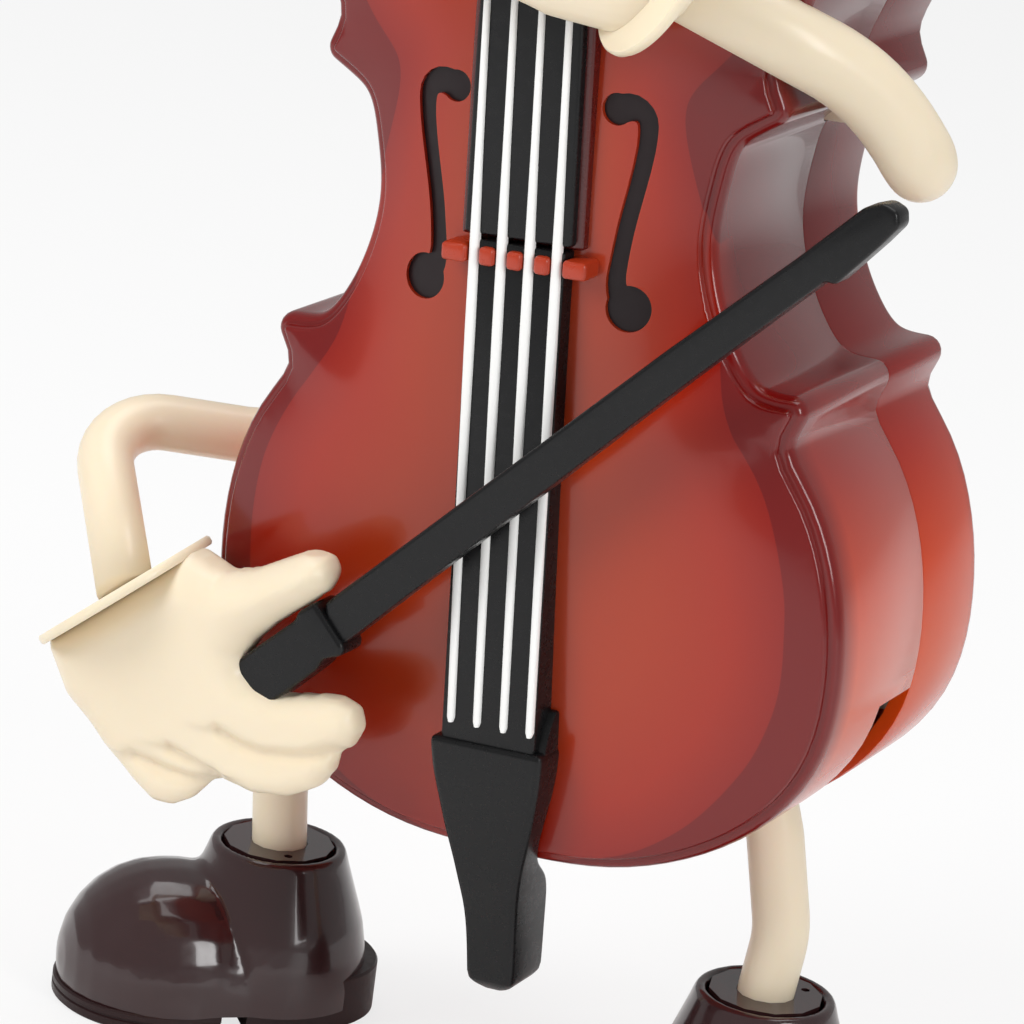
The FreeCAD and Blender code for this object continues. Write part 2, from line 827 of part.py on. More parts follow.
def finger(start, end, radius):
    """A rod with rounded ends, through rings."""
    along = (end - start).normalize()
    across = along.cross(Vector(0, 1, 0)).normalize() * radius
    upward = along.cross(across)
    rings = []
    for middle, side in ((start, -1), (end, 1)):
        for angle in sorted(FINGER_END_ANGLES, reverse=side < 0):
            reach = math.cos(math.radians(angle))
            place = middle + along * (side * radius * math.sin(math.radians(angle)))
            rings.append(ring(place, across * reach, upward * reach, COUNTS["finger_sides"]))
    return ruled(rings)


FINGER_END_ANGLES = (0, 38, 68)


def fused(shapes):
    joined = shapes[0].fuse(shapes[1:])
    return joined.removeSplitter()


def toothed_wheel(teeth, pitch_radius, rise, drop, start, end, half_step):
    """A spur wheel in the front view with straight-sided teeth, the first to the right or half a step on."""
    step = 2 * math.pi / teeth
    corners = []
    for number in range(teeth):
        middle = (number + (0.5 if half_step else 0)) * step
        for share, reach in ((-TOOTH_ROOT_SHARE, -drop), (-TOOTH_TIP_SHARE, rise),
                             (TOOTH_TIP_SHARE, rise), (TOOTH_ROOT_SHARE, -drop)):
            angle = middle + share * step
            reach = pitch_radius + reach
            corners.append(Vector(reach * math.cos(angle), start, reach * math.sin(angle)))
    wire = Part.makePolygon(corners + corners[:1])
    return Part.Face(wire).extrude(Vector(0, end - start, 0))


TOOTH_ROOT_SHARE = 0.25
TOOTH_TIP_SHARE = 0.1


# Cello body

SHELL_POSTS = (("low_post_x", "low_post_z"), ("top_post_x", "top_post_z"))


def shell_posts(start, end, radius):
    """Posts or holes at the four places where the shells are screwed together."""
    return [post_y(radius, start, end, side + x, z) for x, z in SHELL_POSTS for side in ("", "-")]


def sound_hole(side):
    """One of the two recesses in the face, a curled line between two dots."""
    def spot(x, z):
        return Vector(side * size(x), 0, size(z))

    curl = [spot("sound_hole_top_x", "sound_hole_top_z"),
            spot("sound_hole_low_x", "sound_hole_top_z + sound_hole_top_ball * 0.7"),
            spot("sound_hole_bend_x + sound_hole_stem * 0.25", "sound_hole_top_z - sound_hole_top_ball"),
            spot("sound_hole_bend_x - sound_hole_stem * 0.4", "sound_hole_top_z * 0.6 + sound_hole_low_z * 0.4"),
            spot("sound_hole_low_x - sound_hole_stem * 0.3", "sound_hole_low_z + sound_hole_low_ball * 1.2")]
    face, floor = "-(front_depth + face_step + overrun)", "-(front_depth + face_step - sound_hole_depth)"
    sign = "" if side > 0 else "-"
    line = ribbon(curl, size("sound_hole_stem / 2"), face, floor)
    low = post_y("sound_hole_low_ball", face, floor, sign + "sound_hole_low_x", "sound_hole_low_z")
    top = post_y("sound_hole_top_ball", face, floor, sign + "sound_hole_top_x", "sound_hole_top_z")
    return fused([line, low, top])


def tenon_hole():
    return block("-tenon_half - run_gap", "tenon_half + run_gap", "-tenon_depth - run_gap",
                 "tenon_depth + run_gap", "neck_foot_z", "face_length + rim_inset * 2 + overrun")


def arm_hole():
    """The round hole at the seam where the holding arm comes out, cut along the arm itself."""
    return hold_tube("limb_radius + run_gap")


def arm_slot():
    """The slot at the seam that the bow arm swings in."""
    return block("-(bout_half + rim_inset + overrun)", "-(bout_half - arm_slot_reach)", "-arm_slot_front",
                 "arm_slot_back", "arm_pivot_z - limb_radius - arm_slot_drop",
                 "arm_pivot_z + limb_radius + arm_slot_rise")


BODY_SIDE = "(bout_half + rim_inset + overrun)"


def make_front_shell():
    shape = bevelled_prism("0", "-front_depth", "-(front_depth - rim_bevel)", "rim_bevel")
    plateau = outline_prism("0", "-(front_depth - shell_wall)", "-(front_depth + face_step)")
    cavity = outline_prism("0", "overrun", "-(front_depth - shell_wall)")
    ledge = block("-ledge_half", "ledge_half", "-(front_depth + face_step + ledge_rise)",
                  "-(front_depth - shell_wall)", "board_end_z", "face_length")
    ledge = ledge.common(outline_prism("0", "0", "-(front_depth + face_step + ledge_rise)"))
    shape = shape.fuse([plateau, ledge]).cut(cavity)
    leg_slots = [block(x0, x1, "-leg_slot_depth", "overrun", "-overrun", "leg_slot_top_z")
                 for x0, x1 in (("leg_slot_inner_x", BODY_SIDE), (f"-{BODY_SIDE}", "-leg_slot_inner_x"))]
    shape = shape.fuse(shell_posts("-(front_depth - shell_wall)", "0", "post_radius"))
    shape = shape.cut(leg_slots + [sound_hole(1), sound_hole(-1), tenon_hole(), arm_slot(), arm_hole()]
                      + shell_posts("-(screw_length - screw_seat_y + overrun)", "overrun", "screw_radius + run_gap"))
    finish(solid(shape.removeSplitter()), "front_shell", CELLO_FRAME)


def make_rear_shell():
    shape = bevelled_prism("0", "rear_depth", "rear_depth - back_bevel", "back_bevel")
    shape = shape.cut(outline_prism("0", "-overrun", "rear_depth - shell_wall"))
    inner = "rear_depth - shell_wall"
    bosses = [post_y("post_radius", "bedplate_front + bedplate_thickness", inner, x, z)
              for x, z in plate_screw_places()]
    hip = post_y("hip_post_radius", "-(yoke_front - yoke_thickness - seat_gap)", inner, "0", "hip_level")
    pivot = post_y("arm_post_radius", "arm_eye_back + seat_gap", inner, "-arm_pivot_x", "arm_pivot_z")
    shape = shape.fuse(shell_posts("0", inner, "post_radius") + bosses + [hip, pivot])
    holes = [hole_y("screw_radius + run_gap", "0", "rear_depth + overrun", x, z) for x, z in plate_screw_places()]
    holes += shell_posts("-overrun", "rear_depth + overrun", "screw_radius + run_gap")
    holes += shell_posts("screw_seat_y", "rear_depth + overrun", "screw_head_radius + run_gap")
    holes += [hole_y("hip_pin_radius + run_gap", "-yoke_front", "hip_pin_seat", "0", "hip_level"),
              hole_y("arm_pin_radius + run_gap", "0", "arm_pin_seat", "-arm_pivot_x", "arm_pivot_z"),
              hole_y("key_hole_radius", "0", "rear_depth + overrun", "0", "spring_z"),
              tenon_hole(), arm_slot(), arm_hole()]
    finish(solid(shape.cut(holes).removeSplitter()), "rear_shell", CELLO_FRAME)


def plate_screw_places():
    return (("-plate_screw_left", "plate_screw_low_z"), ("-plate_screw_left", "plate_screw_top_z"),
            ("plate_screw_right", "plate_screw_low_z"))


def make_shell_screws():
    """Four long screws from the back, their heads sunk in the rear posts."""
    screws = [screw_y("screw_radius", "screw_head_radius", "-(screw_length - screw_seat_y)", "screw_seat_y",
                      "screw_seat_y + screw_head_height", side + x, z)
              for x, z in SHELL_POSTS for side in ("", "-")]
    finish(group(*screws), "shell_screws", CELLO_FRAME)


# Neck and what sits on it

def body_block():
    """The closed outside of the body, which the neck's foot is cut to fit."""
    return outline_prism("rim_inset", "-(front_depth + face_step + ledge_rise)", "rear_depth")


def make_neck():
    front = "-(front_depth + face_step + ledge_rise)"
    side = [("neck_top_z", front), ("neck_top_z", "-neck_back"), ("neck_bend_z", "-neck_back"),
            ("neck_heel_z", "neck_heel_y"), ("neck_foot_z + overrun", "neck_heel_y"), ("neck_foot_z + overrun", front)]
    corners = [Vector(-size("neck_half"), size(y), size(z)) for z, y in side]
    shape = Part.Face(Part.makePolygon(corners + corners[:1])).extrude(Vector(size("neck_half * 2"), 0, 0))
    shape = shape.cut(body_block())
    tenon = block("-tenon_half", "tenon_half", "-tenon_depth", "tenon_depth",
                  "neck_foot_z + overrun", "face_length + rim_inset * 2 + overrun")
    finish(solid(shape.fuse(tenon).removeSplitter()), "neck", CELLO_FRAME)


def make_scroll():
    """Pegbox with the rolled scroll on top."""
    front = size("-(front_depth + face_step + ledge_rise)")
    low, high = size("neck_top_z"), size("neck_top_z + pegbox_length")
    back = size("-neck_back")
    sections = []
    for level, half, depth_front, depth_back in ((low, size("neck_half"), front, back),
                                                 (high, size("pegbox_top_half"), front + size("pegbox_lean"),
                                                  back + size("pegbox_lean"))):
        corners = [Vector(-half, depth_front, level), Vector(half, depth_front, level),
                   Vector(half, depth_back, level), Vector(-half, depth_back, level)]
        sections.append(Part.makePolygon(corners + corners[:1]))
    shape = Part.makeLoft(sections, True, True)
    centre_y = (front + back) / 2 + size("pegbox_lean")
    centre_z = high + size("scroll_radius * 0.75")
    turns = []
    for number, share in enumerate(SCROLL_TURN_SHARES):
        half = size("scroll_half") + number * size("scroll_step")
        start = Vector(-half, centre_y, centre_z)
        reach = size("scroll_radius") * share
        turns.append(ruled([ring(spot, Vector(0, reach, 0), Vector(0, 0, reach), COUNTS["tube_sides"])
                            for spot in (start, start + Vector(2 * half, 0, 0))]))
    shape = shape.fuse(turns)
    sides, reach = COUNTS["finger_sides"], size("peg_reach")
    holes = [prism(size("peg_shaft_radius + run_gap"), sides, Vector(-reach, y, z), Vector(reach, y, z))
             for y, z, side in peg_places()]
    finish(solid(shape.cut(holes).removeSplitter()), "scroll", CELLO_FRAME)


SCROLL_TURN_SHARES = (1, 0.66, 0.3)


def peg_places():
    """Depth, height and side of each of the four tuning pegs."""
    places = []
    for number in range(4):
        share = (size("peg_low_z") - size("neck_top_z") + number * size("peg_pitch")) / size("pegbox_length")
        middle = size("-(front_depth + face_step + ledge_rise + neck_back) / 2") + share * size("pegbox_lean")
        places.append((middle, size("peg_low_z") + number * size("peg_pitch"), 1 if number % 2 else -1))
    return places


def make_tuning_pegs():
    pegs = []
    for y, z, side in peg_places():
        reach = size("peg_reach")
        start = Vector(-side * size("pegbox_top_half"), y, z)
        end = start + Vector(side * (reach + size("pegbox_top_half")), 0, 0)
        shaft = prism(size("peg_shaft_radius"), COUNTS["finger_sides"], start, end)
        middle = Vector(side * (reach + size("peg_head_radius / 2")), y, z)
        half = Vector(0, size("peg_head_thickness / 2"), 0)
        head = prism(size("peg_head_radius"), COUNTS["post_sides"], middle - half, middle + half)
        pegs.append(solid(fused([shaft, head])))
    finish(group(*pegs), "tuning_pegs", CELLO_FRAME)


def make_fingerboard():
    low, high, back = "board_low_half", "board_top_half", "-(front_depth + face_step + ledge_rise)"
    corners = [(f"-{low}", "board_end_z"), (low, "board_end_z"), (high, "nut_z"), (f"-{high}", "nut_z")]
    item = plate(corners, back, f"board_face + ({back})", edge_round="board_bevel")
    finish(item, "fingerboard", CELLO_FRAME)


def make_nut():
    back = "-(front_depth + face_step + ledge_rise)"
    item = plate(rectangle("-board_low_half", "board_low_half", "nut_z", "nut_z + nut_length"),
                 back, f"board_face + nut_rise + ({back})")
    finish(item, "nut", CELLO_FRAME)


def make_string_strip():
    back = "-(front_depth + face_step)"
    corners = rectangle("-strip_half", "strip_half", "strip_end_z", "bridge_level - run_gap")
    finish(plate(corners, back, f"board_face + ({back})"), "string_strip", CELLO_FRAME)


def string_shares():
    """Place of each string across the half width, from -1 to 1."""
    count = COUNTS["string_count"]
    return [2 * number / (count - 1) - 1 for number in range(count)]


def make_strings():
    """Four raised strings that close in towards the nut."""
    strings = []
    for share in string_shares():
        low, high = f"string_low_half * {share}", f"string_top_half * {share}"
        corners = [(f"{low} - string_width / 2", "string_end_z"), (f"{low} + string_width / 2", "string_end_z"),
                   (f"{high} + string_width / 2", "nut_z"), (f"{high} - string_width / 2", "nut_z")]
        strings.append(plate(corners, "-board_face", "string_rise"))
    finish(group(*strings), "strings", CELLO_FRAME)


def make_bridge():
    """A low bar across the face with a slot for each string and a foot at each end."""
    top, face = "bridge_level + bridge_height", "-(front_depth + face_step)"
    bar = box("-bridge_half", "bridge_half", "-bridge_face", face, "bridge_level", top)
    feet = [box(x0, x1, f"{face} - bridge_foot_depth", face, "bridge_level", top)
            for x0, x1 in (("-bridge_foot_half", "-bridge_half + overrun"), ("bridge_half - overrun", "bridge_foot_half"))]
    slots = []
    for share in string_shares():
        middle = f"string_low_half * {share} * bridge_string_share"
        slots.append(box(f"{middle} - bridge_slot_width / 2", f"{middle} + bridge_slot_width / 2",
                         "-bridge_face - overrun", "-board_face", "bridge_level - overrun", f"{top} + overrun"))
    finish(cut(fuse(bar, *feet), *slots), "bridge", CELLO_FRAME)


# How far each section of the tailpiece is down its length, and from its top's width and front to its low end's
TAIL_SHARES = ((0, 0, 0), (0.25, 0.24, 0.26), (0.47, 0.56, 0.45), (0.68, 0.87, 0.71), (0.85, 0.96, 0.96),
               (0.96, 1, 1))


def make_tailpiece():
    """A bar that narrows and closes in as it goes down the face, and wraps under the lower edge of the body."""
    back, bevel = size("-tail_low_back"), size("tail_bevel")

    def section(level, half, front, behind):
        return [Vector(-half, behind, level), Vector(-half, front + bevel, level), Vector(-half + bevel, front, level),
                Vector(half - bevel, front, level), Vector(half, front + bevel, level), Vector(half, behind, level)]

    rings = []
    for down, narrower, closer in TAIL_SHARES:
        level = size("tail_top_z") - down * size("tail_top_z - tail_bottom_z")
        half = size("tail_top_half") - narrower * size("tail_top_half - tail_low_half")
        front = size("-tail_top_face") + closer * size("tail_top_face - tail_low_face")
        rings.append(section(level, half, front, back))
    rings.append(section(size("tail_bottom_z"), size("tail_low_half - tail_bevel / 2"),
                         size("-tail_low_face + tail_bevel"), back - bevel))
    body = [outline_prism("run_gap", "-(front_depth + face_step)", "0"),
            outline_prism("rim_inset + run_gap", "-front_depth", "0")]
    finish(solid(ruled(rings).cut(body)), "tailpiece", CELLO_FRAME)


# Arms and hands

def hold_tube(radius):
    """The bent tube of the holding arm, from inside the upper ribs to the cuff."""
    root = Vector(size("hold_root_x - hold_collar"), 0, size("hold_root_z"))
    exit_spot = Vector(size("hold_exit_x"), 0, size("hold_root_z"))
    elbow = Vector(size("hold_elbow_x"), size("-hold_elbow_y"), size("hold_elbow_z"))
    cuff = Vector(size("hold_cuff_x"), size("-hold_cuff_y"), size("hold_cuff_z"))
    return limb([root, exit_spot, elbow, cuff], size("elbow_round"), size(radius))


def make_left_arm():
    """The holding arm, trapped between the shells by its collar."""
    root = Vector(size("hold_root_x - hold_collar"), 0, size("hold_root_z"))
    collar = prism(size("limb_radius + hold_collar"), COUNTS["tube_sides"], root,
                   root + Vector(size("hold_collar"), 0, 0))
    finish(solid(fused([hold_tube("limb_radius"), collar])), "left_arm", CELLO_FRAME)


def make_left_hand():
    """Cuff, palm and four fingers over the fingerboard, with the thumb beside it."""
    cuff = Vector(size("hold_cuff_x"), size("-hold_cuff_y"), size("hold_cuff_z"))
    elbow = Vector(size("hold_elbow_x"), size("-hold_elbow_y"), size("hold_elbow_z"))
    forward = (cuff - elbow).normalize()
    parts = [prism(size("hold_cuff_radius"), COUNTS["cuff_sides"], cuff, cuff + forward * size("hand_cuff_thickness"))]
    radius = size("finger_radius")
    level = size("-(board_face + string_rise + seat_gap)") - radius
    for number in range(4):
        height = size("hold_finger_z") + number * size("finger_radius * 1.9")
        knuckle = Vector(size("hold_knuckle_x"), level - radius * 0.3, height)
        tip = Vector(size("-hold_tip_x") + number * radius * 0.4, level, height)
        parts.append(finger(knuckle, tip, radius))
    middle = size("hold_finger_z + finger_radius * 2.8")
    palm = Vector(size("hold_knuckle_x + finger_radius"), level - radius * 0.2, middle)
    parts.append(lump(palm, Vector(size("hold_palm_depth"), 0, 0), Vector(0, size("hold_palm_depth * 0.9"), 0),
                      Vector(0, 0, size("finger_radius * 3.9")), -LUMP_END))
    parts.append(finger(cuff + forward * radius, Vector(size("hold_knuckle_x"), level, middle), radius * 1.6))
    finish(solid(fused(parts).cut(hold_tube("limb_radius"))), "left_hand", CELLO_FRAME)


def peg_path():
    """Path of the yoke's peg as seen from the swinging bow arm, over the whole sway."""
    pivot = Vector(-size("arm_pivot_x"), 0, size("arm_pivot_z"))
    hip = Vector(0, 0, size("hip_level"))
    peg = pivot + Vector(size("arm_tail_length"), 0, 0)
    path = []
    for step in range(PEG_STEPS + 1):
        share = -PEG_SPARE_SHARE + step * (1 + 2 * PEG_SPARE_SHARE) / PEG_STEPS
        swing = size("sway_lean - sway_half_swing") + share * size("sway_half_swing * 2")
        back = Rotation(Vector(0, 1, 0), -swing)
        in_cello = hip + back.multVec(peg - hip)
        path.append(pivot + back.multVec(in_cello - pivot))
    return path


PEG_STEPS = 8
PEG_SPARE_SHARE = 0.1


def bow_tube():
    """The bent tube of the bow arm, from its pivot to the cuff."""
    corners = [Vector(-size("arm_pivot_x"), 0, size("arm_pivot_z"))]
    corners += [Vector(-size(x), -size(y), size(z)) for x, y, z in (
        ("bow_exit_x", "bow_exit_y", "bow_exit_z"), ("bow_upper_x", "bow_upper_y", "bow_upper_z"),
        ("bow_elbow_x", "bow_elbow_y", "bow_elbow_z"), ("bow_cuff_x", "bow_cuff_y", "bow_cuff_z"))]
    return limb(corners, size("bow_elbow_round"), size("limb_radius"))


def make_right_arm():
    """The bow arm: pivot eye, slotted tail that the yoke's peg drives, and the bent tube out to the cuff."""
    pivot = Vector(-size("arm_pivot_x"), 0, size("arm_pivot_z"))
    eye = post_y("arm_eye_radius", "-arm_tail_front", "arm_eye_back", "-arm_pivot_x", "arm_pivot_z")
    start, end = "-arm_tail_front", "-(arm_tail_front - arm_tail_thickness)"
    path = peg_path()
    tail = ribbon([pivot] + path, size("arm_tail_width / 2"), start, end)
    slot = ribbon(path, size("peg_radius + peg_play"), "-(arm_tail_front + overrun)", end + " + overrun")
    shape = eye.fuse([tail, bow_tube()])
    bore = pin_y("arm_pin_radius + run_gap", "-(arm_tail_front + overrun)", "arm_eye_back + overrun",
                 "-arm_pivot_x", "arm_pivot_z")
    finish(solid(shape.cut([slot, bore]).removeSplitter()), "right_arm", CELLO_FRAME)


def make_right_hand():
    """Cuff, palm, thumb over the bow and fingers under it."""
    cuff = Vector(-size("bow_cuff_x"), -size("bow_cuff_y"), size("bow_cuff_z"))
    cuff_axis = Vector(size("cuff_axis_x"), size("cuff_axis_y"), -size("cuff_axis_z")).normalize()
    radius = size("finger_radius")
    parts = [prism(size("hand_cuff_radius"), COUNTS["cuff_sides"], cuff,
                   cuff + cuff_axis * size("hand_cuff_thickness"))]
    lean = Rotation(Vector(0, 1, 0), size("palm_turn"))
    palm = Vector(-size("palm_x"), -size("bow_hand_y"), size("palm_z"))
    parts.append(lump(palm, lean.multVec(Vector(size("palm_half_width"), 0, 0)),
                      Vector(0, size("palm_half_depth"), 0),
                      lean.multVec(Vector(0, 0, size("palm_half_height"))), -LUMP_END))
    for x0, z0, x1, z1 in RIGHT_FINGERS:
        start = Vector(-size(x0), -size("bow_hand_y"), size(z0))
        end = Vector(-size(x1), -size("bow_hand_y"), size(z1))
        parts.append(finger(start, end, radius))
    held = [grip_room(FROG_CORNERS, "frog_depth"), grip_room(BOW_CORNERS, "bow_depth"), bow_tube()]
    finish(solid(fused(parts).cut(held)), "right_hand", CELLO_FRAME)


def grip_room(corners, depth):
    """The room in the hand for a flat piece of the bow, a little larger than the piece."""
    gap = size("run_gap")
    face = flat([Vector(size(x), 0, size(z)) for x, z in corners]).makeOffset2D(gap)
    face.translate(Vector(0, size(f"-bow_middle_y - {depth} / 2") - gap, 0))
    return face.extrude(Vector(0, size(depth) + gap * 2, 0))


RIGHT_FINGERS = (("thumb_base_x", "thumb_base_z", "thumb_tip_x", "thumb_tip_z"),
                 ("index_base_x", "index_base_z", "index_tip_x", "index_tip_z"),
                 ("middle_base_x", "middle_base_z", "middle_tip_x", "middle_tip_z"),
                 ("ring_base_x", "ring_base_z", "ring_tip_x", "ring_tip_z"))


FROG_CORNERS = [("-frog_low_x", "frog_low_z"), ("-frog_end_x", "frog_end_z"),
                ("-frog_front_x", "frog_front_z"), ("-frog_top_x", "frog_top_z")]
BOW_CORNERS = [("-bow_start_x", "bow_start_z"), ("-bow_bend_x", "bow_bend_z"), ("-bow_head_x", "bow_head_z"),
               ("-bow_tip_x - bow_width / 2", "bow_tip_z"), ("-bow_tip_x", "bow_tip_z - bow_width / 4"),
               ("-bow_tip_x - bow_width / 4", "bow_tip_z - bow_width / 2"),
               ("-bow_head_x", "bow_head_z - bow_width * 1.5"),
               ("-bow_bend_x + bow_width / 4", "bow_bend_z - bow_width"),
               ("-bow_start_x + bow_width * 0.65", "bow_start_z - bow_width * 0.75")]


def make_bow():
    """The bow stick with its hooked head, one flat bar."""
    item = plate(BOW_CORNERS, "-(bow_middle_y - bow_depth / 2)", "bow_depth", edge_round="bow_bevel")
    finish(item, "bow", CELLO_FRAME)


def make_bow_frog():
    item = plate(FROG_CORNERS, "-(bow_middle_y - frog_depth / 2)", "frog_depth")
    seat = plate(BOW_CORNERS, "-(bow_middle_y - bow_depth / 2)", "bow_depth")
    finish(cut(item, seat), "bow_frog", CELLO_FRAME)


# Movement

def make_bedplate():
    left, right, low, top = "-bedplate_left", "bedplate_right", "bedplate_low_z", "bedplate_top_z"
    corners = [(left, low), (right, low), (right, top), ("bedplate_tab_half", top),
               ("bedplate_tab_half", "bedplate_tab_z"), ("-bedplate_tab_half", "bedplate_tab_z"),
               ("-bedplate_tab_half", top), (left, top)]
    holes = [("arbor_radius + run_gap", "0", "spring_z"), ("crank_shaft_radius + run_gap", "0", "crank_z"),
             ("fly_shaft_radius + run_gap", "fly_x", FLY_Z)]
    item = plate(corners, "bedplate_front + bedplate_thickness", "bedplate_thickness", holes)
    screw_holes = [sided_rod(HEX, "screw_radius + run_gap", "bedplate_front - overrun",
                             "bedplate_front + bedplate_thickness + overrun", x, z) for x, z in plate_screw_places()]
    finish(cut(item, *screw_holes), "bedplate", CELLO_FRAME)


FLY_Z = "spring_z + worm_wheel_radius + tooth_rise + worm_radius + worm_gap"


def make_bedplate_screws():
    """Three screws from the outside of the back into the bedplate."""
    screws = [screw_y("screw_radius", "screw_head_radius", "bedplate_front", "rear_depth",
                      "rear_depth + screw_head_height", x, z) for x, z in plate_screw_places()]
    finish(group(*screws), "bedplate_screws", CELLO_FRAME)


def make_barrel_bridge():
    """The front bearing of the barrel and the crank: a bar on two pillars."""
    back, front = "-(bridge_front - bridge_thickness)", "-bridge_front"
    low = Vector(-size("pillar_x"), 0, size("spring_z - pillar_rise"))
    high = Vector(size("pillar_x"), 0, size("spring_z + pillar_rise"))
    crank = Vector(0, 0, size("crank_z"))
    bar = ribbon([low, (low + high) / 2, high], size("bridge_bar_half"), front, back)
    branch = ribbon([high, (high + crank) / 2, crank], size("bridge_bar_half * 0.8"), front, back)
    pillars = [post_y("pillar_radius", "-bridge_front", "bedplate_front", x, z)
               for x, z in (("-pillar_x", "spring_z - pillar_rise"), ("pillar_x", "spring_z + pillar_rise"))]
    holes = [pin_y("arbor_radius + run_gap", "-bridge_front - overrun", "overrun", "0", "spring_z"),
             pin_y("crank_shaft_radius + run_gap", "-bridge_front - overrun", "overrun", "0", "crank_z")]
    shape = bar.fuse([branch] + pillars).cut(holes)
    finish(solid(shape.removeSplitter()), "barrel_bridge", CELLO_FRAME)


def make_great_wheel():
    """The barrel's wheel: spur teeth around it for the crank and face teeth for the cylinder."""
    front = size("great_wheel_front")
    wheel = toothed_wheel(COUNTS["barrel_teeth"], size("great_wheel_pitch"), size("tooth_rise"),
                          size("tooth_drop"), front, front + size("great_wheel_thickness"), False)
    centre = Vector(0, front, 0)
    low, high = size("contrate_pitch - contrate_half"), size("contrate_pitch + contrate_half")
    step = 2 * math.pi / COUNTS["barrel_teeth"]
    height = size("contrate_height + contrate_base")
    teeth = []
    for number in range(COUNTS["barrel_teeth"]):
        middle = (number + 0.5) * step
        across = Vector(-math.sin(middle), 0, math.cos(middle)) * (size("contrate_pitch") * step)
        outward = Vector(math.cos(middle), 0, math.sin(middle))
        section = [outward * low + across * -TOOTH_ROOT_SHARE * 0.9, outward * low + across * TOOTH_ROOT_SHARE * 0.9,
                   outward * low + across * TOOTH_TIP_SHARE + Vector(0, -height, 0),
                   outward * low - across * TOOTH_TIP_SHARE + Vector(0, -height, 0)]
        section = [corner + centre for corner in section]
        teeth.append(flat(section).extrude(outward * (high - low)))
    shape = wheel.fuse(teeth)
    shape = shape.cut(Part.makeCylinder(size("arbor_radius + run_gap"), size("great_wheel_thickness"),
                                        centre, Vector(0, 1, 0)))
    shape.translate(Vector(0, 0, size("spring_z")))
    finish(solid(shape), "great_wheel", CELLO_FRAME)


def make_spring_drum():
    sides = COUNTS["drum_sides"]
    drum = sided_rod(sides, "drum_radius", "drum_front", "great_wheel_front", "0", "spring_z")
    room = sided_rod(sides, "drum_radius - drum_wall", "drum_front + drum_wall", "great_wheel_front + overrun",
                     "0", "spring_z")
    bore = rod_y("arbor_radius + run_gap", "drum_front - overrun", "great_wheel_front", "0", "spring_z")
    finish(cut(drum, room, bore), "spring_drum", CELLO_FRAME)


def make_mainspring():
    """A flat ribbon coiled in the drum from the arbor to the wall in even turns."""
    each = COUNTS["spring_steps"]
    half = size("spring_ribbon / 2")
    inner = clear(size("arbor_radius + run_gap") + half, each)
    outer = size("drum_radius - drum_wall - seat_gap - spring_ribbon")
    steps = COUNTS["spring_turns"] * each
    line = []
    for step in range(steps + 1):
        turn = 2 * math.pi * step / each
        radius = inner + (outer - inner) * step / steps
        line.append(Vector(radius * math.cos(turn), 0, radius * math.sin(turn)))
    face = flat(set_out(line, half, False) + list(reversed(set_out(line, -half, False))))
    start = size("drum_front + drum_wall + seat_gap")
    face.translate(Vector(0, start, size("spring_z")))
    shape = face.extrude(Vector(0, size("great_wheel_front - seat_gap") - start, 0))
    finish(solid(shape), "mainspring", CELLO_FRAME)


def make_pinned_cylinder():
    """The brass cylinder with a pin for every time a note is played."""
    start = Vector(size("cylinder_left"), 0, 0)
    end = start + Vector(size("cylinder_length"), 0, 0)
    sides = COUNTS["cylinder_sides"]
    shape = prism(size("cylinder_radius"), sides, start, end)
    room = prism(size("cylinder_radius - cylinder_wall"), sides, start + Vector(size("cylinder_wall"), 0, 0),
                 end + Vector(size("overrun"), 0, 0))
    bore = Part.makeCylinder(size("cylinder_arbor_radius + run_gap / 6"), size("cylinder_length"), start,
                             Vector(1, 0, 0))
    hub = prism(size("cylinder_arbor_radius * 2"), COUNTS["post_sides"], start, end)
    pins = []
    width = size("music_pin_width")
    reach = size("cylinder_radius + music_pin_height")
    notes, each = COUNTS["comb_teeth"], COUNTS["pins_per_note"]
    for number in range(notes * each):
        note = number % notes
        turn = 2 * math.pi * round(((number * PIN_SPREAD_SHARE) % 1) * sides) / sides
        along = size("cylinder_left") + size("cylinder_length") * (note + 0.5) / notes
        pin = Part.makeBox(width, width, reach - size("cylinder_radius - cylinder_wall / 2"),
                           Vector(along - width / 2, -width / 2, size("cylinder_radius - cylinder_wall / 2")))
        pin.rotate(Vector(), Vector(1, 0, 0), math.degrees(turn))
        pins.append(pin)
    shape = shape.cut(room).fuse([hub] + pins).cut(bore)
    shape.translate(Vector(0, size("cylinder_y"), size("spring_z")))
    finish(solid(shape), "pinned_cylinder", CELLO_FRAME)


PIN_SPREAD_SHARE = 0.618


def turned_wheel(teeth, pitch_radius, start, end, half_step):
    """A toothed wheel on the cylinder's arbor."""
    wheel = toothed_wheel(teeth, pitch_radius, size("tooth_rise"), size("tooth_drop"), 0, end - start, half_step)
    wheel.rotate(Vector(), Vector(0, 0, 1), -90)
    wheel.translate(Vector(start, size("cylinder_y"), size("spring_z")))
    return wheel


def make_cylinder_arbor():
    """The cylinder's arbor with the pinion that meets the great wheel's face teeth."""
    start = size("cylinder_pinion_left")
    pitch = size("contrate_pitch * cylinder_teeth / barrel_teeth")
    pinion = turned_wheel(COUNTS["cylinder_teeth"], pitch, start, start + size("cylinder_pinion_width"), False)
    end = size("worm_wheel_left + worm_wheel_width")
    arbor = Part.makeCylinder(size("cylinder_arbor_radius"), end - start,
                              Vector(start, size("cylinder_y"), size("spring_z")), Vector(1, 0, 0))
    finish(solid(fused([pinion, arbor])), "cylinder_arbor", CELLO_FRAME)


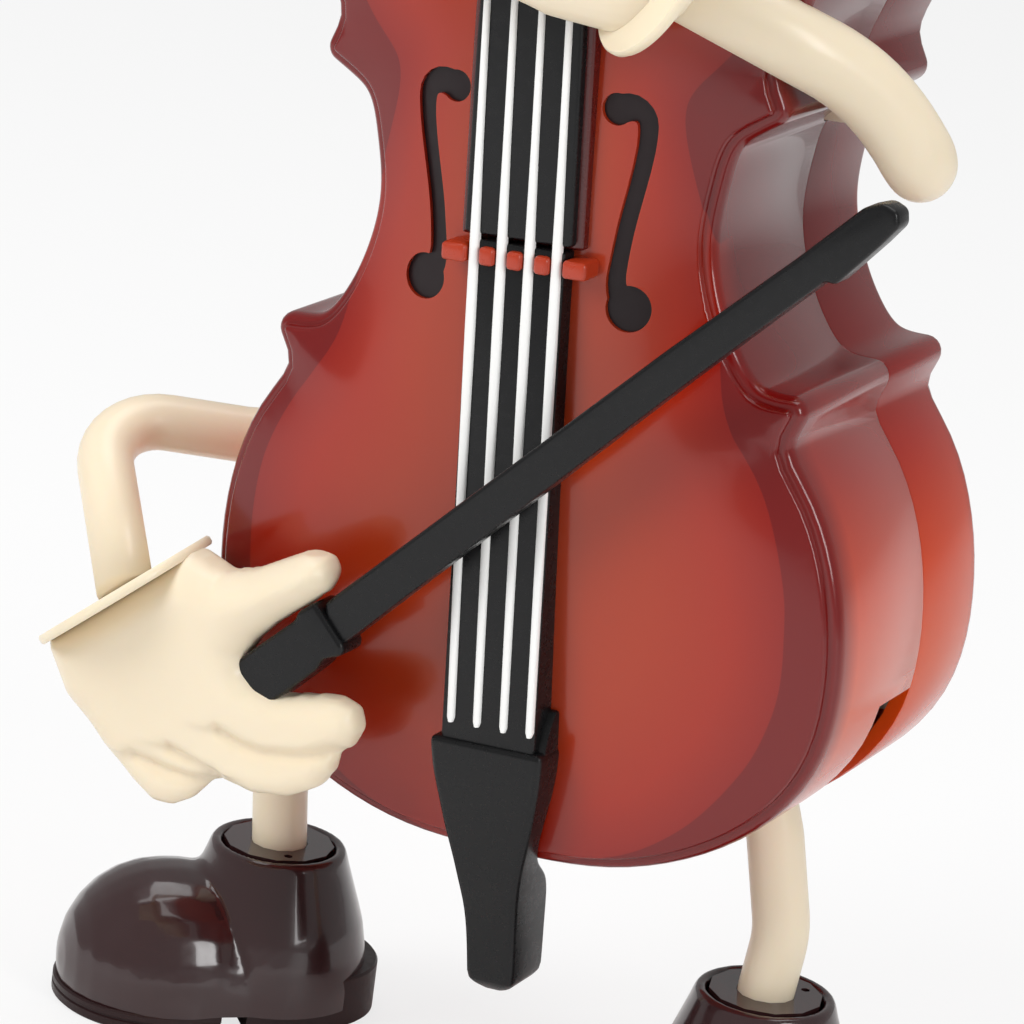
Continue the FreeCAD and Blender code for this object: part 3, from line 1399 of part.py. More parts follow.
def make_worm_wheel():
    start = size("worm_wheel_left")
    wheel = turned_wheel(COUNTS["worm_wheel_teeth"], size("worm_wheel_radius"), start,
                         start + size("worm_wheel_width"), True)
    bore = Part.makeCylinder(size("cylinder_arbor_radius + run_gap / 6"), size("worm_wheel_width"),
                             Vector(start, size("cylinder_y"), size("spring_z")), Vector(1, 0, 0))
    finish(solid(wheel.cut(bore)), "worm_wheel", CELLO_FRAME)


def make_cylinder_brackets():
    """Two upright ears with feet on the bedplate that carry the cylinder's arbor."""
    brackets = []
    for x, foot_x in (("bracket_left_x", "bracket_left_x"),
                      ("bracket_right_x", "bracket_right_x + bracket_thickness - bracket_foot")):
        ear = box(x, f"{x} + bracket_thickness", "bracket_front", "bedplate_front",
                  "spring_z - bracket_half", "spring_z + bracket_half")
        foot = box(foot_x, f"{foot_x} + bracket_foot", "bedplate_front - bracket_thickness", "bedplate_front",
                   "spring_z - bracket_half", "spring_z + bracket_half")
        bore = rod_x("cylinder_arbor_radius + run_gap", f"{x} - overrun", f"{x} + bracket_thickness + overrun",
                     "cylinder_y", "spring_z")
        brackets.append(cut(fuse(ear, foot), bore))
    finish(group(*brackets), "cylinder_brackets", CELLO_FRAME)


def make_comb():
    """The tuned comb: one plate cut into teeth, the bass teeth cut deeper and so longer."""
    pitch = "cylinder_length / comb_teeth"
    tip = "(spring_z - cylinder_radius - music_pin_height - comb_reach_gap)"
    corners = [("cylinder_left", "comb_low_z")]
    corners.append(("cylinder_left + cylinder_length", "comb_low_z"))
    count = COUNTS["comb_teeth"]
    for number in reversed(range(count)):
        right = f"cylinder_left + {pitch} * {number + 1} - comb_tooth_gap / 2"
        left = f"cylinder_left + {pitch} * {number} + comb_tooth_gap / 2"
        root = f"comb_low_z + comb_base_height + comb_bass_drop * {round((number + 1) / count, 3)}"
        before = f"comb_low_z + comb_base_height + comb_bass_drop * {round(number / count, 3)}"
        corners += [(right, root), (right, tip), (left, tip), (left, before)]
    item = plate(corners, "cylinder_y + comb_thickness / 2", "comb_thickness")
    finish(cut(item, *comb_screw_holes()), "comb", CELLO_FRAME)


def comb_screw_holes():
    return [sided_rod(HEX, "comb_screw_radius + run_gap", "cylinder_y - comb_thickness", "bedplate_front + overrun",
                      x, z) for x, z in comb_screw_places()]


def comb_screw_places():
    middle = "comb_low_z + comb_base_height / 2"
    return [(f"cylinder_left + cylinder_length * {share}", middle) for share in COMB_SCREW_SHARES]


COMB_SCREW_SHARES = (0.12, 0.5, 0.88)


def make_comb_block():
    front = "cylinder_y + comb_thickness / 2"
    corners = rectangle("cylinder_left", "cylinder_left + cylinder_length", "comb_low_z",
                        "comb_low_z + comb_base_height * 0.9")
    item = plate(corners, "bedplate_front", f"bedplate_front - ({front})")
    finish(cut(item, *comb_screw_holes()), "comb_block", CELLO_FRAME)


def make_comb_screws():
    front = "cylinder_y - comb_thickness / 2"
    screws = [screw_y("comb_screw_radius", "comb_screw_head", f"{front} + comb_screw_length", front,
                      f"{front} - comb_thickness", x, z) for x, z in comb_screw_places()]
    finish(group(*screws), "comb_screws", CELLO_FRAME)


def make_governor_bracket():
    """A bent strip that holds the front end of the fly's shaft."""
    x0, x1 = "fly_x - governor_half", "fly_x + governor_half"
    top, thick = "governor_top_z", "bracket_thickness"
    deck = box(x0, x1, "-governor_front", "bedplate_front", f"{top} - {thick}", top)
    ear = box(x0, x1, "-governor_front", f"-governor_front + {thick}", f"{FLY_Z} - governor_half", top)
    foot = box(x0, x1, f"bedplate_front - {thick}", "bedplate_front", f"{FLY_Z} + fly_wing_reach", top)
    bore = rod_y("fly_shaft_radius + run_gap", "-governor_front - overrun", "overrun", "fly_x", FLY_Z)
    finish(cut(fuse(deck, ear, foot), bore), "governor_bracket", CELLO_FRAME)


def make_fly_shaft():
    shaft = rod_y("fly_shaft_radius", "-fly_front", "bedplate_front + bedplate_thickness", "fly_x", FLY_Z)
    worm = sided_rod(COUNTS["post_sides"], "worm_radius", "cylinder_y - worm_length / 2",
                     "cylinder_y + worm_length / 2", "fly_x", FLY_Z)
    finish(fuse(shaft, worm), "fly_shaft", CELLO_FRAME)


def make_fly_wings():
    """Two air-brake wings on a hub that is pressed on the shaft."""
    back = "-(governor_front + seat_gap)"
    front = f"{back} - fly_wing_height"
    hub = sided_rod(COUNTS["post_sides"], "fly_shaft_radius * 2", front, back, "fly_x", FLY_Z)
    wings = box("fly_x - fly_wing_reach", "fly_x + fly_wing_reach", front, back,
                f"{FLY_Z} - fly_wing_thickness / 2", f"{FLY_Z} + fly_wing_thickness / 2")
    bore = rod_y("fly_shaft_radius + run_gap / 6", f"{front} - overrun", f"{back} + overrun", "fly_x", FLY_Z)
    finish(cut(fuse(hub, wings), bore), "fly_wings", CELLO_FRAME)


def make_crank_shaft():
    """The crank's shaft with its pinion on the great wheel."""
    start = size("great_wheel_front + run_gap")
    pitch = size("great_wheel_pitch * crank_teeth / barrel_teeth")
    pinion = toothed_wheel(COUNTS["crank_teeth"], pitch, size("tooth_rise"), size("tooth_drop"), start,
                           start + size("crank_pinion_thickness"), True)
    pinion.translate(Vector(0, 0, size("crank_z")))
    shaft = pin_y("crank_shaft_radius", "-crank_disc_front", "bedplate_front + bedplate_thickness", "0", "crank_z")
    finish(solid(fused([pinion, shaft])), "crank_shaft", CELLO_FRAME)


def make_crank_disc():
    """The disc and its pin; the pin stands where the pictured lean asks for it."""
    throw = "((hip_level - crank_z) * tan(sway_half_swing))"
    x = f"-{throw} * sway_lean / sway_half_swing"
    z = f"crank_z + {throw} * sqrt(1 - (sway_lean / sway_half_swing) ^ 2)"
    back = "-(crank_disc_front - crank_disc_thickness)"
    disc = sided_rod(COUNTS["cuff_sides"], "crank_disc_radius", "-crank_disc_front", back, "0", "crank_z")
    pin = rod_y("crank_pin_radius", "-(yoke_front - yoke_thickness - seat_gap)", "-crank_disc_front", x, z)
    bore = rod_y("crank_shaft_radius + run_gap / 6", "-crank_disc_front - overrun", f"{back} + overrun",
                 "0", "crank_z")
    finish(cut(fuse(disc, pin), bore), "crank_disc", CELLO_FRAME)


# Winding key

def make_winding_arbor():
    item = rod_y("arbor_radius", "-bridge_front", "rear_depth + key_clearance + key_hub_length / 2",
                 "0", "spring_z")
    finish(group(item), "winding_arbor", CELLO_FRAME)


def make_ratchet_wheel():
    """The click wheel fixed on the winding arbor between the great wheel and the bedplate."""
    start = size("great_wheel_front + great_wheel_thickness + seat_gap / 2")
    wheel = toothed_wheel(COUNTS["crank_teeth"], size("ratchet_radius"), 0, size("tooth_drop"), start,
                          start + size("ratchet_thickness"), False)
    wheel.translate(Vector(0, 0, size("spring_z")))
    bore = pin_y("arbor_radius + run_gap / 6", "0", "rear_depth", "0", "spring_z")
    finish(solid(wheel.cut(bore)), "ratchet_wheel", CELLO_FRAME)


def make_winding_key():
    """A wing key on the end of the arbor."""
    base, sides = size("rear_depth + key_clearance"), COUNTS["tube_sides"]
    level = size("spring_z")
    root, end = Vector(0, base, level), Vector(0, base + size("key_hub_length"), level)
    half = Vector(0, 0, size("key_wing_thickness / 2"))
    parts = [prism(size("key_hub_radius"), sides, root, end)]
    for side in (1, -1):
        middle = end + Vector(side * size("key_wing_x"), 0, 0)
        parts.append(prism(size("key_wing_radius"), sides, middle - half, middle + half))
    web = size("key_web_half")
    reach = Vector(size("key_wing_x"), web, half.z)
    parts.append(Part.makeBox(2 * reach.x, 2 * reach.y, 2 * reach.z, end - reach))
    socket = prism(clear(size("arbor_radius + run_gap / 6"), sides), sides, root - Vector(0, size("overrun"), 0),
                   root + Vector(0, size("key_hub_length / 2"), 0))
    finish(solid(fused(parts).cut(socket)), "winding_key", CELLO_FRAME)


# Pivots

def make_hip_pin():
    """The pin the cello hangs and sways on, pressed into the rear shell's hip post."""
    shank = rod_y("hip_pin_radius", "-(yoke_front + seat_gap)", "hip_pin_seat", "0", "hip_level")
    head = sided_rod(COUNTS["tube_sides"], "hip_pin_head", "-(yoke_front + seat_gap + hip_pin_head_height)",
                     "-(yoke_front + seat_gap)", "0", "hip_level")
    finish(fuse(shank, head), "hip_pin", CELLO_FRAME)


def make_arm_pivot_pin():
    front = "arm_tail_front + seat_gap"
    shank = rod_y("arm_pin_radius", f"-({front})", "arm_pin_seat", "-arm_pivot_x", "arm_pivot_z")
    head = sided_rod(COUNTS["tube_sides"], "arm_pin_head", f"-({front} + arm_pin_head_height)", f"-({front})",
                     "-arm_pivot_x", "arm_pivot_z")
    finish(fuse(shank, head), "arm_pivot_pin", CELLO_FRAME)


# Stand

def leg_line(side):
    """Points of a leg from inside the shoe up to the yoke, in the stand's own frame."""
    y = -size("leg_y_front")
    return [Vector(side * size(x), y, size(z)) for x, z in (
        ("ankle_x", "leg_bottom_z"), ("ankle_x", "ankle_bend_z"), ("knee_x", "knee_z"),
        ("leg_entry_x", "leg_entry_z"), ("leg_top_x", "leg_top_z"))]


def sign(side):
    return "" if side > 0 else "-"


def leg_screw_place(side):
    """Where the yoke's foot is screwed to the leg."""
    share = "((hip_height - lap_screw_z) / (hip_height - leg_top_z))"
    return f"{sign(side)}leg_top_x * {share}", "lap_screw_z"


def make_leg(side, node):
    """A bent tube, flattened at the top where the yoke laps over it."""
    shape = limb(leg_line(side), size("leg_bend"), size("limb_radius"))
    y = size("-leg_y_front")
    lap = block(f"-{BODY_SIDE}", BODY_SIDE, "-yoke_front - overrun", "-(yoke_front - yoke_thickness)",
                "lap_z", "leg_top_z + limb_radius * 2")
    foot = Vector(side * size("ankle_x"), y, 0)
    screw = prism(clear(size("shoe_screw_radius"), COUNTS["post_sides"]), COUNTS["post_sides"], foot,
                  foot + Vector(0, 0, size("shoe_screw_seat + shoe_screw_length")))
    x, z = leg_screw_place(side)
    cross = hole_y("screw_radius", "-yoke_front", "-(yoke_front - leg_screw_length)", x, z)
    finish(solid(shape.cut([lap, screw, cross]).removeSplitter()), node, STAND_FRAME)


def make_hip_yoke():
    """The plate that joins the legs and carries the cello: two bars, a slotted cross piece, the hip eye, a peg."""
    front, back = "-yoke_front", "-(yoke_front - yoke_thickness)"
    hip = Vector(0, 0, size("hip_height"))
    parts = [post_y("yoke_eye_radius", front, back, "0", "hip_height")]
    for side in (1, -1):
        x, z = leg_screw_place(side)
        foot = Vector(size(x), 0, size(z))
        parts.append(ribbon([foot, (foot + hip) / 2, hip], size("yoke_arm_width / 2"), front, back))
    middle = "hip_height - (hip_level - crank_z)"
    parts.append(block("-yoke_bar_half", "yoke_bar_half", front, back, f"{middle} - yoke_bar_height / 2",
                       f"{middle} + yoke_bar_height / 2"))
    lean = Rotation(Vector(0, 1, 0), -size("sway_lean"))
    rest = Vector(size("arm_tail_length - arm_pivot_x"), 0, size("arm_pivot_z - hip_level"))
    peg = hip + lean.multVec(rest)
    peg_base = Vector(peg.x, size(back), peg.z)
    sides = COUNTS["post_sides"]
    parts.append(prism(size("yoke_peg_boss"), sides, peg_base - Vector(0, size("yoke_thickness"), 0), peg_base))
    peg_end = peg_base + Vector(0, size("arm_tail_thickness + seat_gap * 2 + yoke_tail_room"), 0)
    parts.append(prism(size("peg_radius"), sides, peg_base, peg_end))
    half = size("crank_pin_radius + peg_play / 2")
    slot = ribbon([hip - Vector(0, 0, size("hip_level - crank_z") + size("yoke_slot_half")),
                   hip - Vector(0, 0, size("hip_level - crank_z")),
                   hip - Vector(0, 0, size("hip_level - crank_z") - size("yoke_slot_half"))],
                  half, f"{front} - overrun", f"{back} + overrun")
    holes = [slot, pin_y("hip_pin_radius + run_gap", f"{front} - overrun", f"{back} + overrun", "0", "hip_height")]
    for side in (1, -1):
        x, z = leg_screw_place(side)
        holes.append(hole_y("screw_radius + run_gap", f"{front} - overrun", f"{back} + overrun", x, z))
    shape = parts[0].fuse(parts[1:]).cut(holes)
    finish(solid(shape.removeSplitter()), "hip_yoke", STAND_FRAME)


def make_leg_screws():
    screws = []
    for side in (1, -1):
        x, z = leg_screw_place(side)
        screws.append(screw_y("screw_radius", "screw_head_radius", "-(yoke_front - leg_screw_length)", "-yoke_front",
                              "-(yoke_front + screw_head_height)", x, z))
    finish(group(*screws), "leg_screws", STAND_FRAME)


def shoe_frame(side):
    """Turns a shoe laid out along +X so that its toe points forward and outward from the ankle."""
    turn = Rotation(Vector(0, 0, 1), -90 + side * size("toe_out"))
    return Placement(Vector(side * size("ankle_x"), -size("leg_y_front"), 0), turn)


def sole_face(grow):
    """The plan of a shoe, toe along +X, grown by a distance: a round toe and heel joined by straight sides."""
    corners = []
    for middle, radius, first in ((size("toe_reach - toe_half"), size("toe_half") + grow, -90),
                                  (-size("heel_reach - heel_half"), size("heel_half") + grow, 90)):
        steps = COUNTS["end_steps"] * 2
        for step in range(steps + 1):
            angle = math.radians(first + 180 * step / steps)
            corners.append(Vector(middle + radius * math.cos(angle), radius * math.sin(angle), 0))
    return flat(corners)


def sole_top():
    """Side view of the top of the sole, from the toe over the arch to the heel."""
    far = size("toe_reach * 2")
    return [Vector(far, 0, size("sole_thickness")), Vector(size("heel_front + arch_front * 2"), 0, size("sole_thickness")),
            Vector(size("heel_front"), 0, size("heel_height")), Vector(-far, 0, size("heel_height"))]


def side_block(corners):
    """A block as wide as the shoe and wider, from its side view."""
    wide = size("toe_half * 4")
    face = Part.Face(Part.makePolygon(corners + corners[:1]))
    face.translate(Vector(0, -wide / 2, 0))
    return face.extrude(Vector(0, wide, 0))


def make_sole(side, node):
    """Rubber sole with a raised arch and a heel block, counterbored for the shoe screw."""
    far, heel = size("toe_reach * 2"), size("heel_front")
    outline = sole_top() + [Vector(-far, 0, 0), Vector(heel, 0, 0), Vector(heel, 0, size("arch_height")),
                            Vector(size("heel_front + arch_front"), 0, size("arch_height")),
                            Vector(size("heel_front + arch_front * 2"), 0, 0), Vector(far, 0, 0)]
    shape = sole_face(size("sole_edge")).extrude(Vector(0, 0, size("heel_height"))).common(side_block(outline))
    holes = [sole_hole("shoe_screw_radius + run_gap", "heel_height"),
             sole_hole("shoe_screw_head + run_gap", "shoe_screw_seat")]
    finish_shoe(solid(shape.cut(holes)), side, node)


def sole_hole(radius, top):
    """A hole under the ankle from below the sole up to a height."""
    sides = COUNTS["post_sides"]
    return prism(clear(size(radius), sides), sides, Vector(0, 0, -size("overrun")), Vector(0, 0, size(top)))


def finish_shoe(item, side, node):
    item.Placement = shoe_frame(side)
    finish(item, node, STAND_FRAME)


def make_shoe(side, node):
    """The shoe's upper: a round toe dome and the ankle part with its open collar."""
    base = size("sole_thickness")
    dome = lump(Vector(size("toe_reach * 0.42"), 0, base), Vector(size("toe_reach * 0.58"), 0, 0),
                Vector(0, size("toe_half"), 0), Vector(0, 0, size("toe_height - sole_thickness")), 0)
    ankle = ruled([ring(Vector(0, 0, level), Vector(reach, 0, 0), Vector(0, reach, 0), COUNTS["tube_sides"])
                   for level, reach in ((base, size("heel_half * 1.06")),
                                        (size("collar_height"), size("collar_radius")))])
    heel = lump(Vector(0, 0, base), Vector(size("heel_reach"), 0, 0), Vector(0, size("heel_half"), 0),
                Vector(0, 0, size("collar_height * 0.62")), 0)
    far = size("toe_reach * 2")
    below = side_block(sole_top() + [Vector(-far, 0, -far), Vector(far, 0, -far)])
    shape = dome.fuse([ankle, heel]).cut(below)
    top = Vector(0, 0, size("collar_height + overrun"))
    recess = prism(size("collar_bore"), COUNTS["tube_sides"],
                   Vector(0, 0, size("collar_height - collar_bore_depth")), top)
    socket = leg_hole(Vector(0, 0, size("leg_bottom_z")), top)
    screw = sole_hole("shoe_screw_radius + run_gap", "collar_height")
    finish_shoe(solid(shape.cut([recess, socket, screw])), side, node)


def leg_hole(start, end):
    """The hole that the leg stands in."""
    return prism(clear(size("limb_radius"), COUNTS["tube_sides"]), COUNTS["tube_sides"], start, end)


def make_ankle_plug(side, node):
    """The disc that closes the collar around the leg."""
    low = Vector(0, 0, size("collar_height - collar_bore_depth"))
    high = low + Vector(0, 0, size("ankle_plug_thickness"))
    disc = prism(size("collar_bore - run_gap"), COUNTS["tube_sides"], low, high)
    aside = Vector(0, size("(limb_radius + collar_bore) / 2"), 0)
    pin_hole = prism(size("plug_pin_hole"), HEX, low + aside, high + aside)
    finish_shoe(solid(disc.cut([leg_hole(low, high), pin_hole])), side, node)


def make_sole_screws():
    """One screw up through each heel into the leg."""
    screws = []
    for side in (1, -1):
        foot = Vector(side * size("ankle_x"), -size("leg_y_front"), 0)
        low, seat, tip = (foot + Vector(0, 0, size(level)) for level in (
            "shoe_screw_seat - screw_head_height", "shoe_screw_seat", "shoe_screw_seat + shoe_screw_length"))
        shank = prism(size("shoe_screw_radius"), HEX, seat, tip)
        screws.append(solid(fused([shank, prism(size("shoe_screw_head"), HEX, low, seat)])))
    finish(group(*screws), "sole_screws", STAND_FRAME)


make_front_shell()
make_rear_shell()
make_shell_screws()
make_neck()
make_scroll()
make_tuning_pegs()
make_fingerboard()
make_nut()
make_string_strip()
make_strings()
make_bridge()
make_tailpiece()
make_left_arm()
make_left_hand()
make_right_arm()
make_right_hand()
make_bow()
make_bow_frog()
make_bedplate()
make_bedplate_screws()
make_barrel_bridge()
make_great_wheel()
make_spring_drum()
make_mainspring()
make_pinned_cylinder()
make_cylinder_arbor()
make_worm_wheel()
make_cylinder_brackets()
make_comb()
make_comb_block()
make_comb_screws()
make_governor_bracket()
make_fly_shaft()
make_fly_wings()
make_crank_shaft()
make_crank_disc()
make_winding_arbor()
make_ratchet_wheel()
make_winding_key()
make_hip_pin()
make_arm_pivot_pin()
make_hip_yoke()
make_leg_screws()
make_sole_screws()
for side, name in ((1, "left"), (-1, "right")):
    make_leg(side, f"{name}_leg")
    make_sole(side, f"{name}_sole")
    make_shoe(side, f"{name}_shoe")
    make_ankle_plug(side, f"{name}_ankle_plug")

doc.recompute()
for item in doc.Objects:
    if "Invalid" in item.State or "Error" in item.State:
        raise RuntimeError(f"{item.Label} did not build")

os.makedirs("parts", exist_ok=True)
for node, item in nodes.items():
    if item.Shape.isNull() or not item.Shape.isValid():
        raise RuntimeError(f"{node} has no sound shape")
    item.Shape.exportStep(f"parts/{node}.step")
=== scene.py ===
import bmesh
import bpy
import json
import math
import numpy as np
from mathutils import Matrix, Vector


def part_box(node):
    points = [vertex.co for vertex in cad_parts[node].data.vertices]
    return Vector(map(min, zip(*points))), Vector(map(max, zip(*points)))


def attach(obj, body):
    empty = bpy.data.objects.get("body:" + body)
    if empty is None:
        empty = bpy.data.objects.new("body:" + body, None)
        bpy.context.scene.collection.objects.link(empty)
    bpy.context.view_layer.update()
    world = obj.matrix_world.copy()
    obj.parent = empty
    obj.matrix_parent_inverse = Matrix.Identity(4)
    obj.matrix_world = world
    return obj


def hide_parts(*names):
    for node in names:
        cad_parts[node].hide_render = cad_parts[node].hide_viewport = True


# Looks of the cello music box. Sizes of pieces are in millimetres and places where they stand are in metres.
# "Cello space" is the upright cello: x to the viewer's right, y to the back from the seam of the two shells,
# z up from the lower edge of the body. "Stand space" has the same x and y, and z up from the floor.

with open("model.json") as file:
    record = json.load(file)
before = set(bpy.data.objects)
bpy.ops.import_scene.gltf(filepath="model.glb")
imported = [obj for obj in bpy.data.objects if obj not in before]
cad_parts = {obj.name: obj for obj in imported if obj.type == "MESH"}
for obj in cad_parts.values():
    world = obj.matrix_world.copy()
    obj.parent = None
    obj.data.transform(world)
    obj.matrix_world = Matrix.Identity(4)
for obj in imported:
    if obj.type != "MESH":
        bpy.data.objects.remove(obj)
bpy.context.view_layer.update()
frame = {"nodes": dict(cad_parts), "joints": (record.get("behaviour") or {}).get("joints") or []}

MM = 0.001
LEAN = math.radians(4.4)
HIP_LEVEL = 84.0
HIP = Vector(next(joint["pos_m"] for joint in frame["joints"] if joint["name"] == "body_sway"))
SEAM_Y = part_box("front_shell")[1].y
CELLO = (Matrix.Translation((HIP.x, SEAM_Y, HIP.z)) @ Matrix.Rotation(-LEAN, 4, "Y") @ Matrix.Scale(MM, 4)
         @ Matrix.Translation((0, 0, -HIP_LEVEL)))
STAND = Matrix.Translation((HIP.x, SEAM_Y, 0)) @ Matrix.Scale(MM, 4)

# Cello body
BOUT_HALF = 39.6
FACE_LENGTH = 142.0
RIM_INSET = 2.0
FACE_Y = -26.8
RIM_Y = -25.8
BACK_Y = 18.0
WALL = 1.9
FRONT_ROUND = 1.75
BACK_ROUND = 1.95
SEAM_GROOVE = 0.12
SEAM_GAP = 0.02
SEAM_LIP = 0.3
RIM_FLAT = 1.0
# Edge of the plateau on the face: outset and depth below the face
PLATEAU_EDGE = ((0.0, 0.0), (0.25, 0.08), (0.45, 0.3), (0.52, 0.6), (0.6, 0.88), (0.8, 1.0))
LOWER_BOUT_SHARES = ((0, 0), (0.328, 0.005), (0.596, 0.029), (0.795, 0.065), (0.939, 0.116), (1, 0.204),
                     (0.960, 0.285), (0.866, 0.342), (0.793, 0.382), (0.828, 0.410))
WAIST_SHARES = ((0.828, 0.410), (0.712, 0.415), (0.621, 0.441), (0.545, 0.486), (0.508, 0.539),
                (0.530, 0.592), (0.586, 0.633), (0.646, 0.646), (0.705, 0.656))
UPPER_BOUT_SHARES = ((0.705, 0.656), (0.672, 0.683), (0.722, 0.727), (0.783, 0.806), (0.740, 0.891),
                     (0.568, 0.961), (0.303, 0.994), (0, 1))
RUN_SAMPLES = 72
FAN_STEPS = 6
ROUND_STEPS = 6

# Slots in the body: low and high corner
LEG_SLOT = ((21.0, -9.8, -6.0), (50.0, 0.6, 22.6))
ARM_SLOT = ((-47.5, -8.6, 35.2), (-34.8, 4.2, 46.0))
CUT_OVERRUN = 2.0
ARM_HOLE_RADIUS = 3.75
KEY_LEVEL = 35.0
KEY_HOLE_RADIUS = 3.4
KEY_HOLE_DEPTH = 4.0
KEY_HOLE_SIDES = 48

# Arch of the face: its rise in the middle, how far from the edge it gets there, its swell along the face,
# the step of its cuts and the depth of the sheet that it moves
ARCH_RISE = 2.9
ARCH_REACH = 14.0
ARCH_SWELL = 0.85
ARCH_STEP = 2.0
ARCH_SHEET = 0.12

# Sound holes: the stem as (x, z, half width), then its two balls as (x, z, radius)
HOLE_DEPTH = 0.75
HOLE_STEM = ((10.6, 93.4, 1.7), (12.4, 93.8, 1.6), (13.9, 92.9, 1.35), (14.25, 91.0, 1.2),
             (13.85, 87.4, 1.12), (13.1, 83.6, 1.08), (12.3, 79.6, 1.08), (11.7, 75.2, 1.12),
             (11.7, 72.6, 1.3), (12.7, 70.6, 1.7))
HOLE_BALLS = ((13.3, 70.3, 2.75), (10.4, 93.4, 1.9))
HOLE_SIDES = 40
INLAY_TOP, INLAY_SINK, INLAY_GAP = 0.14, 0.1, 0.02

# Limbs
LIMB_RADIUS = 3.55
BOW_ARM = ((-33.2, 0, 40.4), (-39.5, -2.6, 40.6), (-47.7, -9.0, 41.2),
           (-63.0, -20.0, 43.8), (-47.8, -37.0, 27.2))
BOW_ARM_BENDS = (6, 8, 10)
LIMB_RADII = ((0, LIMB_RADIUS), (1, LIMB_RADIUS))
HOLD_ARM = ((21.0, 0, 93.6), (29.0, 0, 93.6), (43.6, -11.6, 85.6), (37.2, -18.0, 98.2), (17.5, -38.5, 112.0))
HOLD_ARM_BENDS = (5, 5.4, 30)
HOLD_ARM_RADII = ((0, 3.6), (0.25, 3.7), (0.4, 4.5), (0.85, 4.5), (1, 4.3))
LEG = ((34.7, -5.0, 9.0), (34.7, -5.0, 22.0), (35.6, -5.0, 30.0), (32.8, -5.0, 42.0), (26.5, -5.0, 59.6))
LEG_BENDS = (14, 14, 14)
LEG_TOP_CUT = ((-60, -20, 53.8), (60, -6.2, 70))

# Shoes
ANKLE_X = 34.7
ANKLE_Y = -5.0
TOE_OUT = 48.0


# Meshes

def new_object(name, vertices, faces):
    mesh = bpy.data.meshes.new(name)
    mesh.from_pydata([tuple(vertex) for vertex in vertices], [], faces)
    mesh.validate()
    item = bpy.data.objects.new(name, mesh)
    bpy.context.scene.collection.objects.link(item)
    mesh.polygons.foreach_set("use_smooth", [True] * len(mesh.polygons))
    return item


def apply_modifiers(item):
    depsgraph = bpy.context.evaluated_depsgraph_get()
    mesh = bpy.data.meshes.new_from_object(item.evaluated_get(depsgraph))
    item.modifiers.clear()
    item.data = mesh
    return item


def combine(item, others, operation):
    """Cuts closed pieces out of a piece, or adds them to it, and removes them."""
    for other in others:
        step = item.modifiers.new("combine", "BOOLEAN")
        step.operation = operation
        step.solver = "EXACT"
        step.object = other
        apply_modifiers(item)
        bpy.data.objects.remove(other)
    return item


def rounded(item, width, segments=3, angle=30):
    """Rounds the edges of a piece that are sharper than an angle."""
    step = item.modifiers.new("round", "BEVEL")
    step.width = width
    step.segments = segments
    step.limit_method = "ANGLE"
    step.angle_limit = math.radians(angle)
    step.harden_normals = False
    return apply_modifiers(item)


# How far each smoothing pass moves a spot towards its neighbours
EVENING = 0.5


def remeshed(item, voxel, passes):
    """Melts the overlapping closed parts of a piece into one smooth skin."""
    melt = item.modifiers.new("melt", "REMESH")
    melt.mode = "VOXEL"
    melt.voxel_size = voxel
    melt.use_smooth_shade = True
    even = item.modifiers.new("even", "SMOOTH")
    even.factor = EVENING
    even.iterations = passes
    return apply_modifiers(item)


# Angles above which an edge stays sharp, for most pieces and for softly shaded ones
EDGE_ANGLE, SOFT_EDGE, SOFTEST_EDGE = 32, 40, 50


def crisp(item, degrees=EDGE_ANGLE):
    """Shades a piece smooth but keeps edges sharper than an angle."""
    item.data.polygons.foreach_set("use_smooth", [True] * len(item.data.polygons))
    item.data.set_sharp_from_angle(angle=math.radians(degrees))
    return item


def place(item, matrix, body, slot, nodes=(), look=None):
    """Moves a finished piece to where it stands, hangs it on the body that it rides on, gives it a material
    and hides the CAD pieces that it stands for.
    """
    item.data.transform(matrix)
    item.data.update()
    item.data.materials.clear()
    item.data.materials.append(materials[look or slot])
    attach(item, body)
    if nodes:
        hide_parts(*nodes)
    return item


def joined(name, items):
    """One object from several, each kept as its own shell."""
    vertices, faces = [], []
    for item in items:
        base = len(vertices)
        vertices += [vertex.co.copy() for vertex in item.data.vertices]
        faces += [[base + index for index in face.vertices] for face in item.data.polygons]
        bpy.data.objects.remove(item)
    return new_object(name, vertices, faces)


def rings_object(name, rings):
    """A skin through rings of points with the same count, its ends closed by flat caps."""
    count = len(rings[0])
    vertices = [point for ring in rings for point in ring]
    faces = []
    for low in range(len(rings) - 1):
        for number in range(count):
            following = (number + 1) % count
            faces.append((low * count + number, low * count + following,
                          (low + 1) * count + following, (low + 1) * count + number))
    faces.append(tuple(reversed(range(count))))
    faces.append(tuple(range((len(rings) - 1) * count, len(rings) * count)))
    return outward(new_object(name, vertices, faces))


WELD = 0.0001


def outward(item):
    """Turns every face of a closed piece to the outside."""
    work = bmesh.new()
    work.from_mesh(item.data)
    bmesh.ops.remove_doubles(work, verts=work.verts, dist=WELD)
    bmesh.ops.recalc_face_normals(work, faces=work.faces)
    work.to_mesh(item.data)
    work.free()
    return item


def full_turn(sides):
    """Angles evenly round a circle."""
    return np.linspace(0, 2 * math.pi, sides, endpoint=False)


def block(low, high):
    """A closed block between two corners."""
    (x0, y0, z0), (x1, y1, z1) = low, high
    rings = [[(x0, y0, z), (x1, y0, z), (x1, y1, z), (x0, y1, z)] for z in (z0, z1)]
    return rings_object("block", rings)


